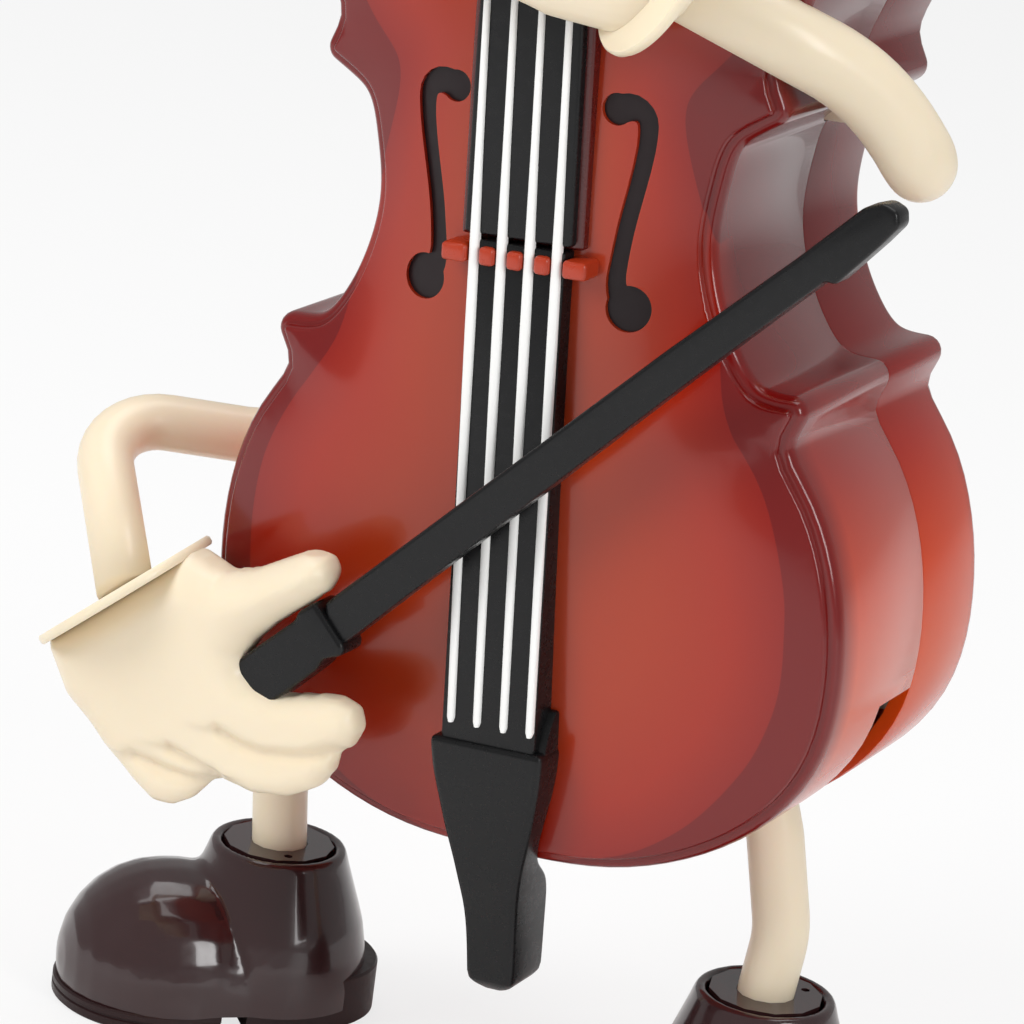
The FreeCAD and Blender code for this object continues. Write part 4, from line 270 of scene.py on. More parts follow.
def spline(points, samples):
    """Points evenly along a natural cubic through a list of points."""
    points = np.array(points, float)
    steps = np.linalg.norm(np.diff(points, axis=0), axis=1)
    along = np.concatenate([[0], np.cumsum(steps)])
    count = len(points)
    matrix = np.eye(count)
    right = np.zeros_like(points)
    for i in range(1, count - 1):
        matrix[i, i - 1:i + 2] = steps[i - 1], 2 * (steps[i - 1] + steps[i]), steps[i]
        right[i] = 6 * ((points[i + 1] - points[i]) / steps[i] - (points[i] - points[i - 1]) / steps[i - 1])
    bends = np.linalg.solve(matrix, right)
    out = []
    for place_along in np.linspace(0, along[-1], samples):
        i = min(max(np.searchsorted(along, place_along) - 1, 0), count - 2)
        h = steps[i]
        a, b = (along[i + 1] - place_along) / h, (place_along - along[i]) / h
        out.append(a * points[i] + b * points[i + 1]
                   + ((a ** 3 - a) * bends[i] + (b ** 3 - b) * bends[i + 1]) * h * h / 6)
    return np.array(out)


BEND_STEPS = 10
# A bend takes less than half of the run beside it
RUN_SHARE = 0.48


def bent(points, bends):
    """A path of straight runs with an even bend of its own radius at each inner point."""
    points = [Vector(point) for point in points]
    path = [points[0]]
    for before, corner, after, bend in zip(points, points[1:], points[2:], bends):
        inward = (before - corner).normalized()
        away = (after - corner).normalized()
        half_angle = inward.angle(away) / 2
        shorter = min((before - corner).length, (after - corner).length)
        setback = min(bend / math.tan(half_angle), shorter * RUN_SHARE)
        centre = corner + (inward + away).normalized() * (setback / math.cos(half_angle))
        spoke = corner + inward * setback - centre
        turn = math.pi - 2 * half_angle
        for step in range(BEND_STEPS + 1):
            path.append(centre + Matrix.Rotation(turn * step / BEND_STEPS, 3, away.cross(inward)) @ spoke)
    return path + [points[-1]]


TUBE_SIDES = 40


def tube(name, path, radii):
    """A round rod along a path, its radii given with the share of the path's length where they hold."""
    lengths = np.concatenate([[0], np.cumsum([(b - a).length for a, b in zip(path, path[1:])])])
    shares = lengths / lengths[-1]
    radius_at = np.interp(shares, [share for share, radius in radii], [radius for share, radius in radii])
    across = Vector((0.3, 0.2, 1))
    rings = []
    for number, spot in enumerate(path):
        before, after = path[max(number - 1, 0)], path[min(number + 1, len(path) - 1)]
        travel = (after - before).normalized()
        across = (across - travel * across.dot(travel)).normalized()
        up = travel.cross(across)
        rings.append([spot + (across * math.cos(turn) + up * math.sin(turn)) * radius_at[number]
                      for turn in full_turn(TUBE_SIDES)])
    return rings_object(name, rings)


ROD_SIDES = 28
ROD_END_STEPS = 8
# The last ring of a round end stops short of its pole
POLE_ANGLE = 88


def capsule(start, end, start_radius, end_radius, flat):
    """A rod with round ends and its own radius at each end, squeezed along Y."""
    start, end = Vector(start), Vector(end)
    travel = (end - start).normalized()
    across = travel.orthogonal().normalized()
    up = travel.cross(across)
    rings = []
    for middle, radius, angles in ((start, start_radius, np.linspace(-POLE_ANGLE, 0, ROD_END_STEPS)),
                                   (end, end_radius, np.linspace(0, POLE_ANGLE, ROD_END_STEPS))):
        for angle in np.radians(angles):
            centre = middle + travel * (radius * math.sin(angle))
            reach = radius * math.cos(angle)
            rings.append([centre + (across * math.cos(turn) + up * math.sin(turn)) * reach
                          for turn in full_turn(ROD_SIDES)])
    axis = Vector((0, 1, 0))
    middle = (start + end) / 2
    rings = [[point - axis * ((point - middle).dot(axis) * (1 - flat)) for point in ring] for ring in rings]
    return rings_object("capsule", rings)


TINY = 1e-12


def edge_distance(points, outline):
    """How far points lie inside a closed outline, below zero outside it."""
    nearest = np.full(len(points), np.inf)
    inside = np.zeros(len(points), bool)
    for start, end in zip(outline, np.roll(outline, -1, axis=0)):
        step = end - start
        share = np.clip((points - start) @ step / max(step @ step, TINY), 0, 1)
        nearest = np.minimum(nearest, np.linalg.norm(points - start - share[:, None] * step, axis=1))
        spans = (start[1] > points[:, 1]) != (end[1] > points[:, 1])
        rise = step[1] if step[1] else TINY
        inside ^= spans & (points[:, 0] < start[0] + (points[:, 1] - start[1]) * step[0] / rise)
    return np.where(inside, nearest, -nearest)


def puffed(name, outline, spacing, surfaces):
    """A cushion over a closed outline in the front view, between a front and a back surface."""
    outline = np.array(outline, float)
    low, high = outline.min(axis=0) - spacing, outline.max(axis=0) + spacing
    across, upward = np.meshgrid(np.arange(low[0], high[0], spacing), np.arange(low[1], high[1], spacing),
                                 indexing="ij")
    points = np.stack([across.ravel(), upward.ravel()], axis=1)
    depth = edge_distance(points, outline) + spacing / 2
    front, back = surfaces(points, np.maximum(depth, 0.0))
    vertices = [(x, y, z) for sheet in (front, back) for (x, z), y in zip(points, sheet)]
    kept = (depth > 0).reshape(across.shape)
    whole = kept[:-1, :-1] & kept[1:, :-1] & kept[1:, 1:] & kept[:-1, 1:]
    columns, count = across.shape[1], len(points)
    faces, edges = [], set()
    for row, column in np.argwhere(whole):
        corner = row * columns + column
        loop = (corner, corner + columns, corner + columns + 1, corner + 1)
        faces += [loop, tuple(count + index for index in reversed(loop))]
        edges.update(zip(loop, loop[1:] + loop[:1]))
    faces += [(b, a, count + a, count + b) for a, b in edges if (b, a) not in edges]
    return new_object(name, vertices, faces)


# Materials

def srgb(red, green, blue):
    """A colour as a picture shows it, from 0 to 255, turned into a shader's colour."""
    channels = [value / 255 for value in (red, green, blue)]
    return tuple(v / 12.92 if v <= 0.04045 else ((v + 0.055) / 1.055) ** 2.4 for v in channels) + (1,)


class Nodes:
    """Builds a material's node tree."""

    def __init__(self, name):
        self.material = bpy.data.materials.new(name)
        self.material.use_nodes = True
        self.tree = self.material.node_tree
        self.shader = self.tree.nodes["Principled BSDF"]

    def add(self, kind, inputs=(), **settings):
        node = self.tree.nodes.new(kind)
        for setting, value in settings.items():
            setattr(node, setting, value)
        for socket, value in dict(inputs).items():
            if isinstance(value, bpy.types.NodeSocket):
                self.tree.links.new(value, node.inputs[socket])
            else:
                node.inputs[socket].default_value = value
        return node

    def link(self, output, socket):
        self.tree.links.new(output, self.shader.inputs[socket])

    def set(self, values):
        for socket, value in values.items():
            self.shader.inputs[socket].default_value = value

    def place(self):
        return self.add("ShaderNodeTexCoord").outputs["Object"]

    def math(self, operation, first, second=0.0, third=0.0):
        node = self.add("ShaderNodeMath", {0: first, 1: second, 2: third}, operation=operation)
        return node.outputs[0]

    def noise(self, scale, detail=3.0):
        return self.add("ShaderNodeTexNoise", {"Vector": self.place(), "Scale": scale,
                                               "Detail": detail}).outputs["Fac"]

    def span(self, value, low, high, to_low, to_high):
        node = self.add("ShaderNodeMapRange", {"Value": value, "From Min": low, "From Max": high,
                                               "To Min": to_low, "To Max": to_high})
        return node.outputs["Result"]

    def ramp(self, value, stops):
        node = self.add("ShaderNodeValToRGB", {"Fac": value})
        elements = node.color_ramp.elements
        while len(elements) < len(stops):
            elements.new(0.5)
        for element, (position, colour) in zip(elements, stops):
            element.position = position
            element.color = colour
        return node.outputs["Color"]

    def mix(self, share, first, second):
        return self.add("ShaderNodeMix", {0: share, 6: first, 7: second}, data_type="RGBA").outputs[2]

    def bump(self, height, strength, distance):
        return self.add("ShaderNodeBump", {"Height": height, "Strength": strength,
                                           "Distance": distance}).outputs["Normal"]


PATCH_SCALE = 40.0
GRAIN_SCALE, GRAIN_DETAIL = 900.0, 4.0
WAVE_SCALE, WAVE_DETAIL = 130.0, 2.0
WAVE_HEIGHT = 0.00001
NOISE_SPAN = (0.3, 0.7)
ROUGHNESS_SHARES = (0.85, 1.2)
COAT_ROUGHNESS = 0.04
DULL_SPECULAR, FULL_SPECULAR = 0.3, 0.5
CREAM_DEPTH = {"Subsurface Weight": 0.15, "Subsurface Radius": (0.003, 0.002, 0.001), "Subsurface Scale": 1.0}


def plastic(name, colour, second, roughness, coat=0.0, waves=0.15, metallic=0.0, depth=None):
    """A moulded plastic or metal: two close colours in soft patches and a slightly uneven gloss."""
    nodes = Nodes(name)
    nodes.link(nodes.mix(nodes.noise(PATCH_SCALE), srgb(*colour), srgb(*second)), "Base Color")
    least, most = (roughness * share for share in ROUGHNESS_SHARES)
    nodes.link(nodes.span(nodes.noise(GRAIN_SCALE, GRAIN_DETAIL), *NOISE_SPAN, least, most), "Roughness")
    nodes.link(nodes.bump(nodes.noise(WAVE_SCALE, WAVE_DETAIL), waves, WAVE_HEIGHT), "Normal")
    nodes.set({"Specular IOR Level": FULL_SPECULAR if coat or metallic else DULL_SPECULAR,
               "Metallic": metallic, "Coat Weight": coat, "Coat Roughness": COAT_ROUGHNESS})
    nodes.set(depth or {})
    return nodes.material


# Glow of the sunburst: centre x, centre z, half width and half height of each oval, in cello space
GLOW_OVALS = ((0, 34.0, 36.0, 34.0), (0, 60.0, 24.0, 44.0), (0, 84.0, 18.5, 36.0), (0, 116.0, 29.0, 26.0))
GLOW_BLEND = 0.25
DRIFT_SCALE = 14.0
DRIFT = 0.05
# Colours from the middle of the glow outwards. A second stop at 1 colours all that lies further out
FRONT_STOPS = ((0.0, srgb(166, 58, 26)), (0.5, srgb(164, 50, 18)), (0.8, srgb(158, 36, 12)),
               (1.0, srgb(138, 22, 10)), (1.0, srgb(112, 12, 10)))
REAR_STOPS = ((0.0, srgb(140, 34, 18)), (0.6, srgb(170, 44, 18)), (0.95, srgb(186, 58, 16)),
              (1.0, srgb(160, 40, 14)), (1.0, srgb(110, 22, 12)))
# Ribs: orange beside the lower bout and dark red away from it, and the depths where their colour starts and
# where it ends
RIB_MIDDLE, RIB_REACH = 24.0, 46.0
RIB_FRONT = (-25.2, -20.0)
RIB_BACK = (15.0, 19.0)
RIB_STOPS = ((0.0, srgb(206, 74, 16)), (0.3, srgb(200, 62, 14)), (0.62, srgb(158, 32, 14)),
             (0.85, srgb(118, 16, 12)), (1.0, srgb(100, 12, 12)))
VARNISH = {"Roughness": 0.2, "Specular IOR Level": 0.4, "Coat Weight": 0.32, "Coat Roughness": COAT_ROUGHNESS,
           "Subsurface Weight": 0.12, "Subsurface Radius": (0.004, 0.001, 0.0004), "Subsurface Scale": 1.0}


def cello_parts(nodes):
    """The coordinates of a spot in cello space."""
    spot = nodes.add("ShaderNodeMapping", {"Vector": nodes.place()}, vector_type="POINT")
    turn = Matrix.Rotation(LEAN, 4, "Y")
    spot.inputs["Scale"].default_value = (1 / MM, 1 / MM, 1 / MM)
    spot.inputs["Rotation"].default_value = (0, LEAN, 0)
    hip = Vector((HIP.x, SEAM_Y, HIP.z)) / MM
    spot.inputs["Location"].default_value = Vector((0, 0, HIP_LEVEL)) - turn @ hip
    return nodes.add("ShaderNodeSeparateXYZ", {"Vector": spot.outputs["Vector"]}).outputs


def glow_reach(nodes, parts):
    """How far a spot lies from the middle of the glow, 1 at its edge."""
    near = None
    for x, z, half_width, half_height in GLOW_OVALS:
        across = nodes.math("MULTIPLY", nodes.math("SUBTRACT", parts["X"], x), 1 / half_width)
        upward = nodes.math("MULTIPLY", nodes.math("SUBTRACT", parts["Z"], z), 1 / half_height)
        reach = nodes.math("SQRT", nodes.math("ADD", nodes.math("MULTIPLY", across, across),
                                              nodes.math("MULTIPLY", upward, upward)))
        near = reach if near is None else nodes.math("SMOOTH_MIN", near, reach, GLOW_BLEND)
    return near


def sunburst(name, stops):
    """Sprayed varnish: a glow in the middle of the face or back that darkens outwards, and its own ribs."""
    nodes = Nodes(name)
    parts = cello_parts(nodes)
    near = glow_reach(nodes, parts)
    drift = nodes.span(nodes.noise(DRIFT_SCALE), *NOISE_SPAN, -DRIFT, DRIFT)
    face = nodes.ramp(nodes.math("ADD", near, drift), stops)
    beside = nodes.math("ABSOLUTE", nodes.math("SUBTRACT", parts["Z"], RIB_MIDDLE))
    ribs = nodes.ramp(nodes.math("ADD", nodes.math("MULTIPLY", beside, 1 / RIB_REACH), drift), RIB_STOPS)
    started = nodes.span(parts["Y"], *RIB_FRONT, 0, 1)
    lasting = nodes.span(parts["Y"], *RIB_BACK, 1, 0)
    nodes.link(nodes.mix(nodes.math("MULTIPLY", started, lasting), face, ribs), "Base Color")
    nodes.set(VARNISH)
    return nodes.material


def make_materials():
    return {
        "cello_red": sunburst("cello_red", FRONT_STOPS),
        "rear_red": sunburst("rear_red", REAR_STOPS),
        "bridge_red": plastic("bridge_red", (182, 58, 26), (166, 48, 20), 0.3, 0.2),
        # The ledge under the fingerboard is the shell's red plastic, darkened here as painted shade under the
        # board.
        "ledge_red_painted_shade": plastic("ledge_red_painted_shade", (86, 16, 12), (76, 12, 10), 0.25, 0.3),
        "gloss_black": plastic("gloss_black", (16, 16, 17), (20, 20, 21), 0.28),
        "hole_black": plastic("hole_black", (30, 20, 22), (36, 26, 28), 0.35),
        "string_white": plastic("string_white", (248, 248, 246), (240, 240, 238), 0.4),
        "limb_cream": plastic("limb_cream", (240, 226, 200), (236, 220, 192), 0.34, 0.1, 0.2,
                              depth=CREAM_DEPTH),
        "shoe_brown": plastic("shoe_brown", (52, 28, 29), (46, 24, 25), 0.2, 0.5),
        "sole_brown": plastic("sole_brown", (44, 25, 26), (38, 22, 22), 0.35),
        "peg_black": plastic("peg_black", (26, 24, 24), (34, 32, 32), 0.3),
        "yoke_grey": plastic("yoke_grey", (150, 150, 148), (136, 136, 134), 0.45),
        "steel": plastic("steel", (176, 178, 180), (160, 162, 164), 0.28, metallic=1.0),
        "screw_steel": plastic("screw_steel", (166, 168, 170), (146, 148, 150), 0.32, metallic=1.0),
        "brass": plastic("brass", (206, 170, 96), (190, 152, 80), 0.3, metallic=1.0),
        "key_chrome": plastic("key_chrome", (214, 216, 218), (200, 202, 204), 0.14, metallic=1.0),
    }


materials = make_materials()


# Cello body

def face_outline():
    """Spots round the face and the way out at each: four smooth runs and a fan at each of four corners."""
    mirrored = [[(-x, z) for x, z in reversed(shares)] for shares in
                (LOWER_BOUT_SHARES, WAIST_SHARES, UPPER_BOUT_SHARES)]
    runs = (mirrored[0] + list(LOWER_BOUT_SHARES[1:]), list(WAIST_SHARES),
            list(UPPER_BOUT_SHARES) + mirrored[2][1:], mirrored[1])
    lines = [spline([(x * BOUT_HALF, z * FACE_LENGTH + RIM_INSET) for x, z in run], RUN_SAMPLES)
             for run in runs]
    spots, ways = [], []
    for number, line in enumerate(lines):
        travel = np.gradient(line, axis=0)
        travel /= np.linalg.norm(travel, axis=1)[:, None]
        way = np.stack([travel[:, 1], -travel[:, 0]], axis=1)
        spots += list(line)
        ways += list(way)
        following = lines[(number + 1) % len(lines)]
        onward = following[1] - following[0]
        onward = np.array([onward[1], -onward[0]]) / np.linalg.norm(onward)
        first = math.atan2(way[-1][1], way[-1][0])
        turn = (math.atan2(onward[1], onward[0]) - first) % (2 * math.pi)
        for step in range(1, FAN_STEPS):
            angle = first + turn * step / FAN_STEPS
            spots.append(line[-1])
            ways.append(np.array([math.cos(angle), math.sin(angle)]))
    return np.array(spots), np.array(ways)


OUTLINE_SPOTS, OUTLINE_WAYS = face_outline()


def outline_ring(outset, depth):
    return [(x, depth, z) for x, z in OUTLINE_SPOTS + OUTLINE_WAYS * outset]


def quarter(start_outset, start_y, end_outset, end_y):
    """A quarter oval of outset and depth that leaves the face level and meets the ribs upright."""
    return [(start_outset + (end_outset - start_outset) * math.sin(angle),
             end_y + (start_y - end_y) * math.cos(angle))
            for angle in np.linspace(0, math.pi / 2, ROUND_STEPS + 1)]


def hole_pieces(side, front, floor, shrink):
    """The stem and the two balls of a sound hole as closed plates between two depths."""
    line = spline(HOLE_STEM, HOLE_SIDES)
    travel = np.gradient(line[:, :2], axis=0)
    travel /= np.linalg.norm(travel, axis=1)[:, None]
    way = np.stack([travel[:, 1], -travel[:, 0]], axis=1)
    half = (line[:, 2] - shrink)[:, None]
    edge = np.concatenate([line[:, :2] + way * half, (line[:, :2] - way * half)[::-1]])
    outlines = [edge]
    turns = full_turn(HOLE_SIDES)
    for x, z, radius in HOLE_BALLS:
        reach = radius - shrink
        outlines.append(np.stack([x + reach * np.cos(turns), z + reach * np.sin(turns)], axis=1))
    return [rings_object("hole", [[(side * x, depth, z) for x, z in outline] for depth in (front, floor)])
            for outline in outlines]


def arch_rise(points):
    """How far the face stands forward at spots in the front view."""
    reach = np.clip(edge_distance(points, OUTLINE_SPOTS) / ARCH_REACH, 0, 1)
    along = np.clip((points[:, 1] - RIM_INSET) / FACE_LENGTH, 0, 1)
    return ARCH_RISE * np.sin(math.pi * along) ** ARCH_SWELL * (1 - (1 - reach) ** 2)


ARCH_LIMIT = FACE_Y + HOLE_DEPTH + ARCH_SHEET


def arched(item):
    """Gives a piece of the flat face the face's arch."""
    work = bmesh.new()
    work.from_mesh(item.data)
    low, high = OUTLINE_SPOTS.min(axis=0), OUTLINE_SPOTS.max(axis=0)
    for axis, start, end in (((1, 0, 0), low[0], high[0]), ((0, 0, 1), low[1], high[1])):
        for place_along in np.arange(start + ARCH_STEP / 2, end, ARCH_STEP):
            level = [face for face in work.faces if max(vertex.co.y for vertex in face.verts) < ARCH_LIMIT]
            parts = level + list({edge for face in level for edge in face.edges})
            parts += list({vertex for face in level for vertex in face.verts})
            bmesh.ops.bisect_plane(work, geom=parts, plane_co=Vector(axis) * place_along, plane_no=axis)
    near = [vertex for vertex in work.verts if vertex.co.y < ARCH_LIMIT]
    rises = arch_rise(np.array([(vertex.co.x, vertex.co.z) for vertex in near]))
    for vertex, rise in zip(near, rises):
        vertex.co.y -= rise
    bmesh.ops.triangulate(work, faces=[face for face in work.faces if len(face.verts) > 4])
    work.to_mesh(item.data)
    work.free()
    return item


def hold_arm_hole():
    return tube("hole", bent(HOLD_ARM, HOLD_ARM_BENDS), ((0, ARM_HOLE_RADIUS), (1, ARM_HOLE_RADIUS)))


def make_front_shell():
    outer = [(outset, FACE_Y + drop) for outset, drop in PLATEAU_EDGE]
    outer += quarter(RIM_INSET - RIM_FLAT, RIM_Y, RIM_INSET, RIM_Y + FRONT_ROUND)
    outer += [(RIM_INSET, -SEAM_LIP), (RIM_INSET - SEAM_GROOVE, -SEAM_GAP)]
    inner = [(RIM_INSET - WALL, -SEAM_GAP), (RIM_INSET - WALL, RIM_Y + WALL)]
    shell = rings_object("cello_front", [outline_ring(outset, depth) for outset, depth in outer + inner])
    (x0, y0, z0), (x1, y1, z1) = LEG_SLOT
    cutters = [block((x0, y0, z0), (x1, y1, z1)), block((-x1, y0, z0), (-x0, y1, z1)), block(*ARM_SLOT),
               hold_arm_hole()]
    for side in (1, -1):
        cutters += hole_pieces(side, FACE_Y - CUT_OVERRUN, FACE_Y + HOLE_DEPTH, 0)
    combine(shell, cutters, "DIFFERENCE")
    arched(shell)
    place(crisp(shell), CELLO, "cello", "cello_red", ["front_shell"])


def make_sound_holes():
    """The dark inlays at the bottom of the sound holes."""
    floor = FACE_Y + HOLE_DEPTH
    for side, name in ((1, "left"), (-1, "right")):
        stem, *balls = hole_pieces(side, floor - INLAY_TOP, floor + INLAY_SINK, INLAY_GAP)
        combine(stem, balls, "UNION")
        stem.name = f"{name}_sound_hole"
        place(crisp(arched(stem)), CELLO, "cello", "gloss_black", look="hole_black")


def make_rear_shell():
    inner = [(RIM_INSET - WALL, BACK_Y - WALL), (RIM_INSET - WALL, SEAM_GAP)]
    outer = [(RIM_INSET - SEAM_GROOVE, SEAM_GAP), (RIM_INSET, SEAM_LIP)]
    outer += list(reversed(quarter(RIM_INSET - BACK_ROUND, BACK_Y, RIM_INSET, BACK_Y - BACK_ROUND)))
    shell = rings_object("cello_rear", [outline_ring(outset, depth) for outset, depth in inner + outer])
    key_hole = rings_object("key_hole", [[(KEY_HOLE_RADIUS * math.cos(turn), depth,
                                           KEY_LEVEL + KEY_HOLE_RADIUS * math.sin(turn))
                                          for turn in full_turn(KEY_HOLE_SIDES)]
                                         for depth in (BACK_Y - KEY_HOLE_DEPTH, BACK_Y + CUT_OVERRUN)])
    combine(shell, [block(*ARM_SLOT), hold_arm_hole(), key_hole], "DIFFERENCE")
    place(crisp(shell), CELLO, "cello", "cello_red", ["rear_shell"], "rear_red")


# Strings and what carries them

BOARD_Y = -32.3
STRING_XS = (-5.35, -1.8, 1.8, 5.35)
# Height, half width, how far the strings are drawn together and how far they stand off to one side there
STRING_LEVELS = ((17.6, 0.3, 0.98, 0.35), (18.2, 0.5, 0.98, 0.35), (45.0, 0.56, 1.0, 0.1),
                 (66.0, 0.66, 1.0, 0.0), (76.0, 0.62, 1.0, -0.05), (88.0, 0.48, 1.0, -0.15),
                 (104.0, 0.42, 0.99, -0.25), (161.0, 0.36, 0.84, 0.0))
STRING_PROUD = 0.45
STRING_SINK = 0.3
# Below 1 the ridges of the strings are squarer than a half circle
STRING_SQUARENESS = 0.6
STRING_STEPS = 9


def make_strings():
    lines = []
    for x in STRING_XS:
        rings = []
        for z, half, share, shift in STRING_LEVELS:
            middle = x * share + shift
            ridge = [(middle + half * math.cos(turn),
                      BOARD_Y - STRING_PROUD * math.sin(turn) ** STRING_SQUARENESS, z)
                     for turn in np.linspace(0, math.pi, STRING_STEPS)]
            sunk = [(middle + side * half, BOARD_Y + STRING_SINK, z) for side in (-1, 1)]
            rings.append(ridge + sunk)
        lines.append(rings_object("line", rings))
    strings = joined("string_ridges", lines)
    place(crisp(strings, SOFTEST_EDGE), CELLO, "cello", "string_white", ["strings"])


# Fingerboard and the ledge under it: height, half width
BOARD_LEVELS = ((77.0, 7.0), (100.0, 6.8), (160.9, 5.4))
LEDGE_LEVELS = ((76.6, 7.9), (100.0, 7.8), (142.0, 7.2))
BOARD_BACK_Y, BOARD_ROUND = FACE_Y - 0.3, 0.5
LEDGE_Y, LEDGE_BACK_Y, LEDGE_ROUND = -31.0, FACE_Y + 0.5, 0.4
BOARD_ROUND_STEPS = 4


def tapered_bar(name, levels, front, back, edge):
    rings = [[(-half, back, z), (-half, front, z), (half, front, z), (half, back, z)] for z, half in levels]
    return crisp(rounded(rings_object(name, rings), edge, BOARD_ROUND_STEPS), SOFTEST_EDGE)


def make_fingerboard():
    """The black board and the ledge that it stands on, the ledge's red darkened as painted shade under the
    board.
    """
    board = tapered_bar("board", BOARD_LEVELS, BOARD_Y, BOARD_BACK_Y, BOARD_ROUND)
    place(board, CELLO, "cello", "gloss_black", ["fingerboard"])
    ledge = tapered_bar("board_ledge", LEDGE_LEVELS, LEDGE_Y, LEDGE_BACK_Y, LEDGE_ROUND)
    # The ledge is made of the shell's red; its darker look is painted shade under the board.
    place(ledge, CELLO, "cello", "cello_red", look="ledge_red_painted_shade")


STRIP_CORNERS = ((-6.2, BOARD_Y, 14.8), (6.2, FACE_Y + 0.6, 76.4))
STRIP_ROUND = 0.4


def make_string_strip():
    strip = rounded(block(*STRIP_CORNERS), STRIP_ROUND)
    strip.name = "string_base"
    place(crisp(strip), CELLO, "cello", "gloss_black", ["string_strip"])


# Bridge: the level, the two ends and the middles of the three lumps between the strings
BRIDGE_LOW, BRIDGE_HIGH = 73.5, 75.7
BRIDGE_FRONT = -33.25
BRIDGE_ENDS = ((-9.4, -6.25), (6.35, 9.4))
BRIDGE_MIDDLES = (-3.55, 0.05, 3.6)
LUMP_HALF, LUMP_DEPTH = 0.95, 1.0
BRIDGE_ROUND = 0.5


def make_bridge():
    """A bar under the strings, of which five rounded lumps show."""
    spans = [(start, end, FACE_Y) for start, end in BRIDGE_ENDS]
    spans += [(middle - LUMP_HALF, middle + LUMP_HALF, BOARD_Y + LUMP_DEPTH) for middle in BRIDGE_MIDDLES]
    lumps = [rounded(block((start, BRIDGE_FRONT, BRIDGE_LOW), (end, back, BRIDGE_HIGH)), BRIDGE_ROUND)
             for start, end, back in spans]
    place(crisp(joined("string_bridge", lumps)), CELLO, "cello", "bridge_red", ["bridge"])


# Tailpiece: height, half width, front, back
TAIL_LEVELS = ((15.6, 7.5, -32.9, -26.9), (12.0, 7.2, -32.6, -26.9), (8.0, 6.5, -32.0, -26.9),
               (4.0, 5.65, -31.4, -26.9), (0.5, 4.8, -30.8, -25.6), (-3.0, 4.1, -30.1, -21.6),
               (-6.5, 3.6, -29.2, -20.0), (-10.0, 3.35, -28.6, -19.6), (-14.0, 3.2, -28.2, -19.4),
               (-17.4, 3.05, -28.0, -19.4))
TAIL_SAMPLES = 44
TAIL_END_ROUND = 2.6
TAIL_END_SIDE_SHARE, TAIL_END_DEPTH_SHARE = 0.8, 0.7
TAIL_EDGE_ROUND, TAIL_EDGE_STEPS = 1.0, 5
# Shoulder behind the tailpiece's top: half width, front on the left and back, then height and front on the
# right
SHOULDER_HALF, SHOULDER_FRONT, SHOULDER_BACK = 7.3, -29.4, -26.9
SHOULDER_LEVELS = ((13.0, -31.6), (16.0, -31.2), (18.4, -30.2), (20.2, -28.8))
SHOULDER_ROUND, SHOULDER_STEPS = 0.3, 2


def make_tailpiece():
    rings = []
    line = spline(TAIL_LEVELS, TAIL_SAMPLES)
    bottom = line[-1][0]
    for z, half, front, back in line:
        rise = max(0.0, TAIL_END_ROUND - (z - bottom)) / TAIL_END_ROUND
        shrink = TAIL_END_ROUND * (1 - math.sqrt(max(0.0, 1 - rise * rise)))
        half -= shrink * TAIL_END_SIDE_SHARE
        front += shrink * TAIL_END_DEPTH_SHARE
        back -= shrink * TAIL_END_DEPTH_SHARE
        rings.append([(-half, back, z), (-half, front, z), (half, front, z), (half, back, z)])
    bar = rounded(rings_object("tailpiece_bar", rings), TAIL_EDGE_ROUND, TAIL_EDGE_STEPS)
    half = SHOULDER_HALF
    shoulder = rings_object("shoulder", [[(-half, SHOULDER_FRONT, z), (-half, SHOULDER_BACK, z),
                                          (half, SHOULDER_BACK, z), (half, front, z)]
                                         for z, front in SHOULDER_LEVELS])
    tail = joined("tailpiece_bar", [bar, rounded(shoulder, SHOULDER_ROUND, SHOULDER_STEPS)])
    place(crisp(tail, SOFT_EDGE), CELLO, "cello", "gloss_black", ["tailpiece"])


# Bow: outlines of the stick and of the frog in the front view

BOW_OUTLINE = ((-19.7, 30.9), (22.3, 68.3), (37.8, 81.6), (45.2, 88.3), (47.6, 89.1), (49.3, 88.3),
               (49.5, 86.6), (47.4, 84.2), (42.4, 79.0), (41.2, 79.3), (38.4, 76.8), (26.0, 65.7),
               (-18.8, 24.6))
FROG_OUTLINE = ((-32.6, 20.4), (-27.6, 15.9), (-19.9, 22.8), (-19.2, 24.2), (-16.6, 25.1), (-16.4, 26.3),
                (-20.6, 31.1), (-22.8, 29.5), (-23.2, 28.3))
BOW_MIDDLE = -36.5
# Name, outline, half depth, rounding of the edges and CAD node
BOW_PIECES = (("bow_stick", BOW_OUTLINE, 1.9, 1.25, "bow"), ("bow_grip", FROG_OUTLINE, 2.7, 0.7, "bow_frog"))
BOW_ROUND_STEPS, BOW_ROUND_ANGLE = 5, 20


def make_bow():
    for name, outline, half, edge, node in BOW_PIECES:
        rings = [[(x, BOW_MIDDLE + side * half, z) for x, z in outline] for side in (-1, 1)]
        item = rounded(rings_object(name, rings), edge, BOW_ROUND_STEPS, BOW_ROUND_ANGLE)
        place(crisp(item, SOFT_EDGE), CELLO, "bow_arm", "gloss_black", [node])


# Arms, hands and legs

def make_limbs():
    bow_arm = tube("bow_arm_tube", bent(BOW_ARM, BOW_ARM_BENDS), LIMB_RADII)
    place(bow_arm, CELLO, "bow_arm", "limb_cream", ["right_arm"])
    hold_arm = tube("hold_arm_tube", bent(HOLD_ARM, HOLD_ARM_BENDS), HOLD_ARM_RADII)
    place(hold_arm, CELLO, "cello", "limb_cream", ["left_arm"])


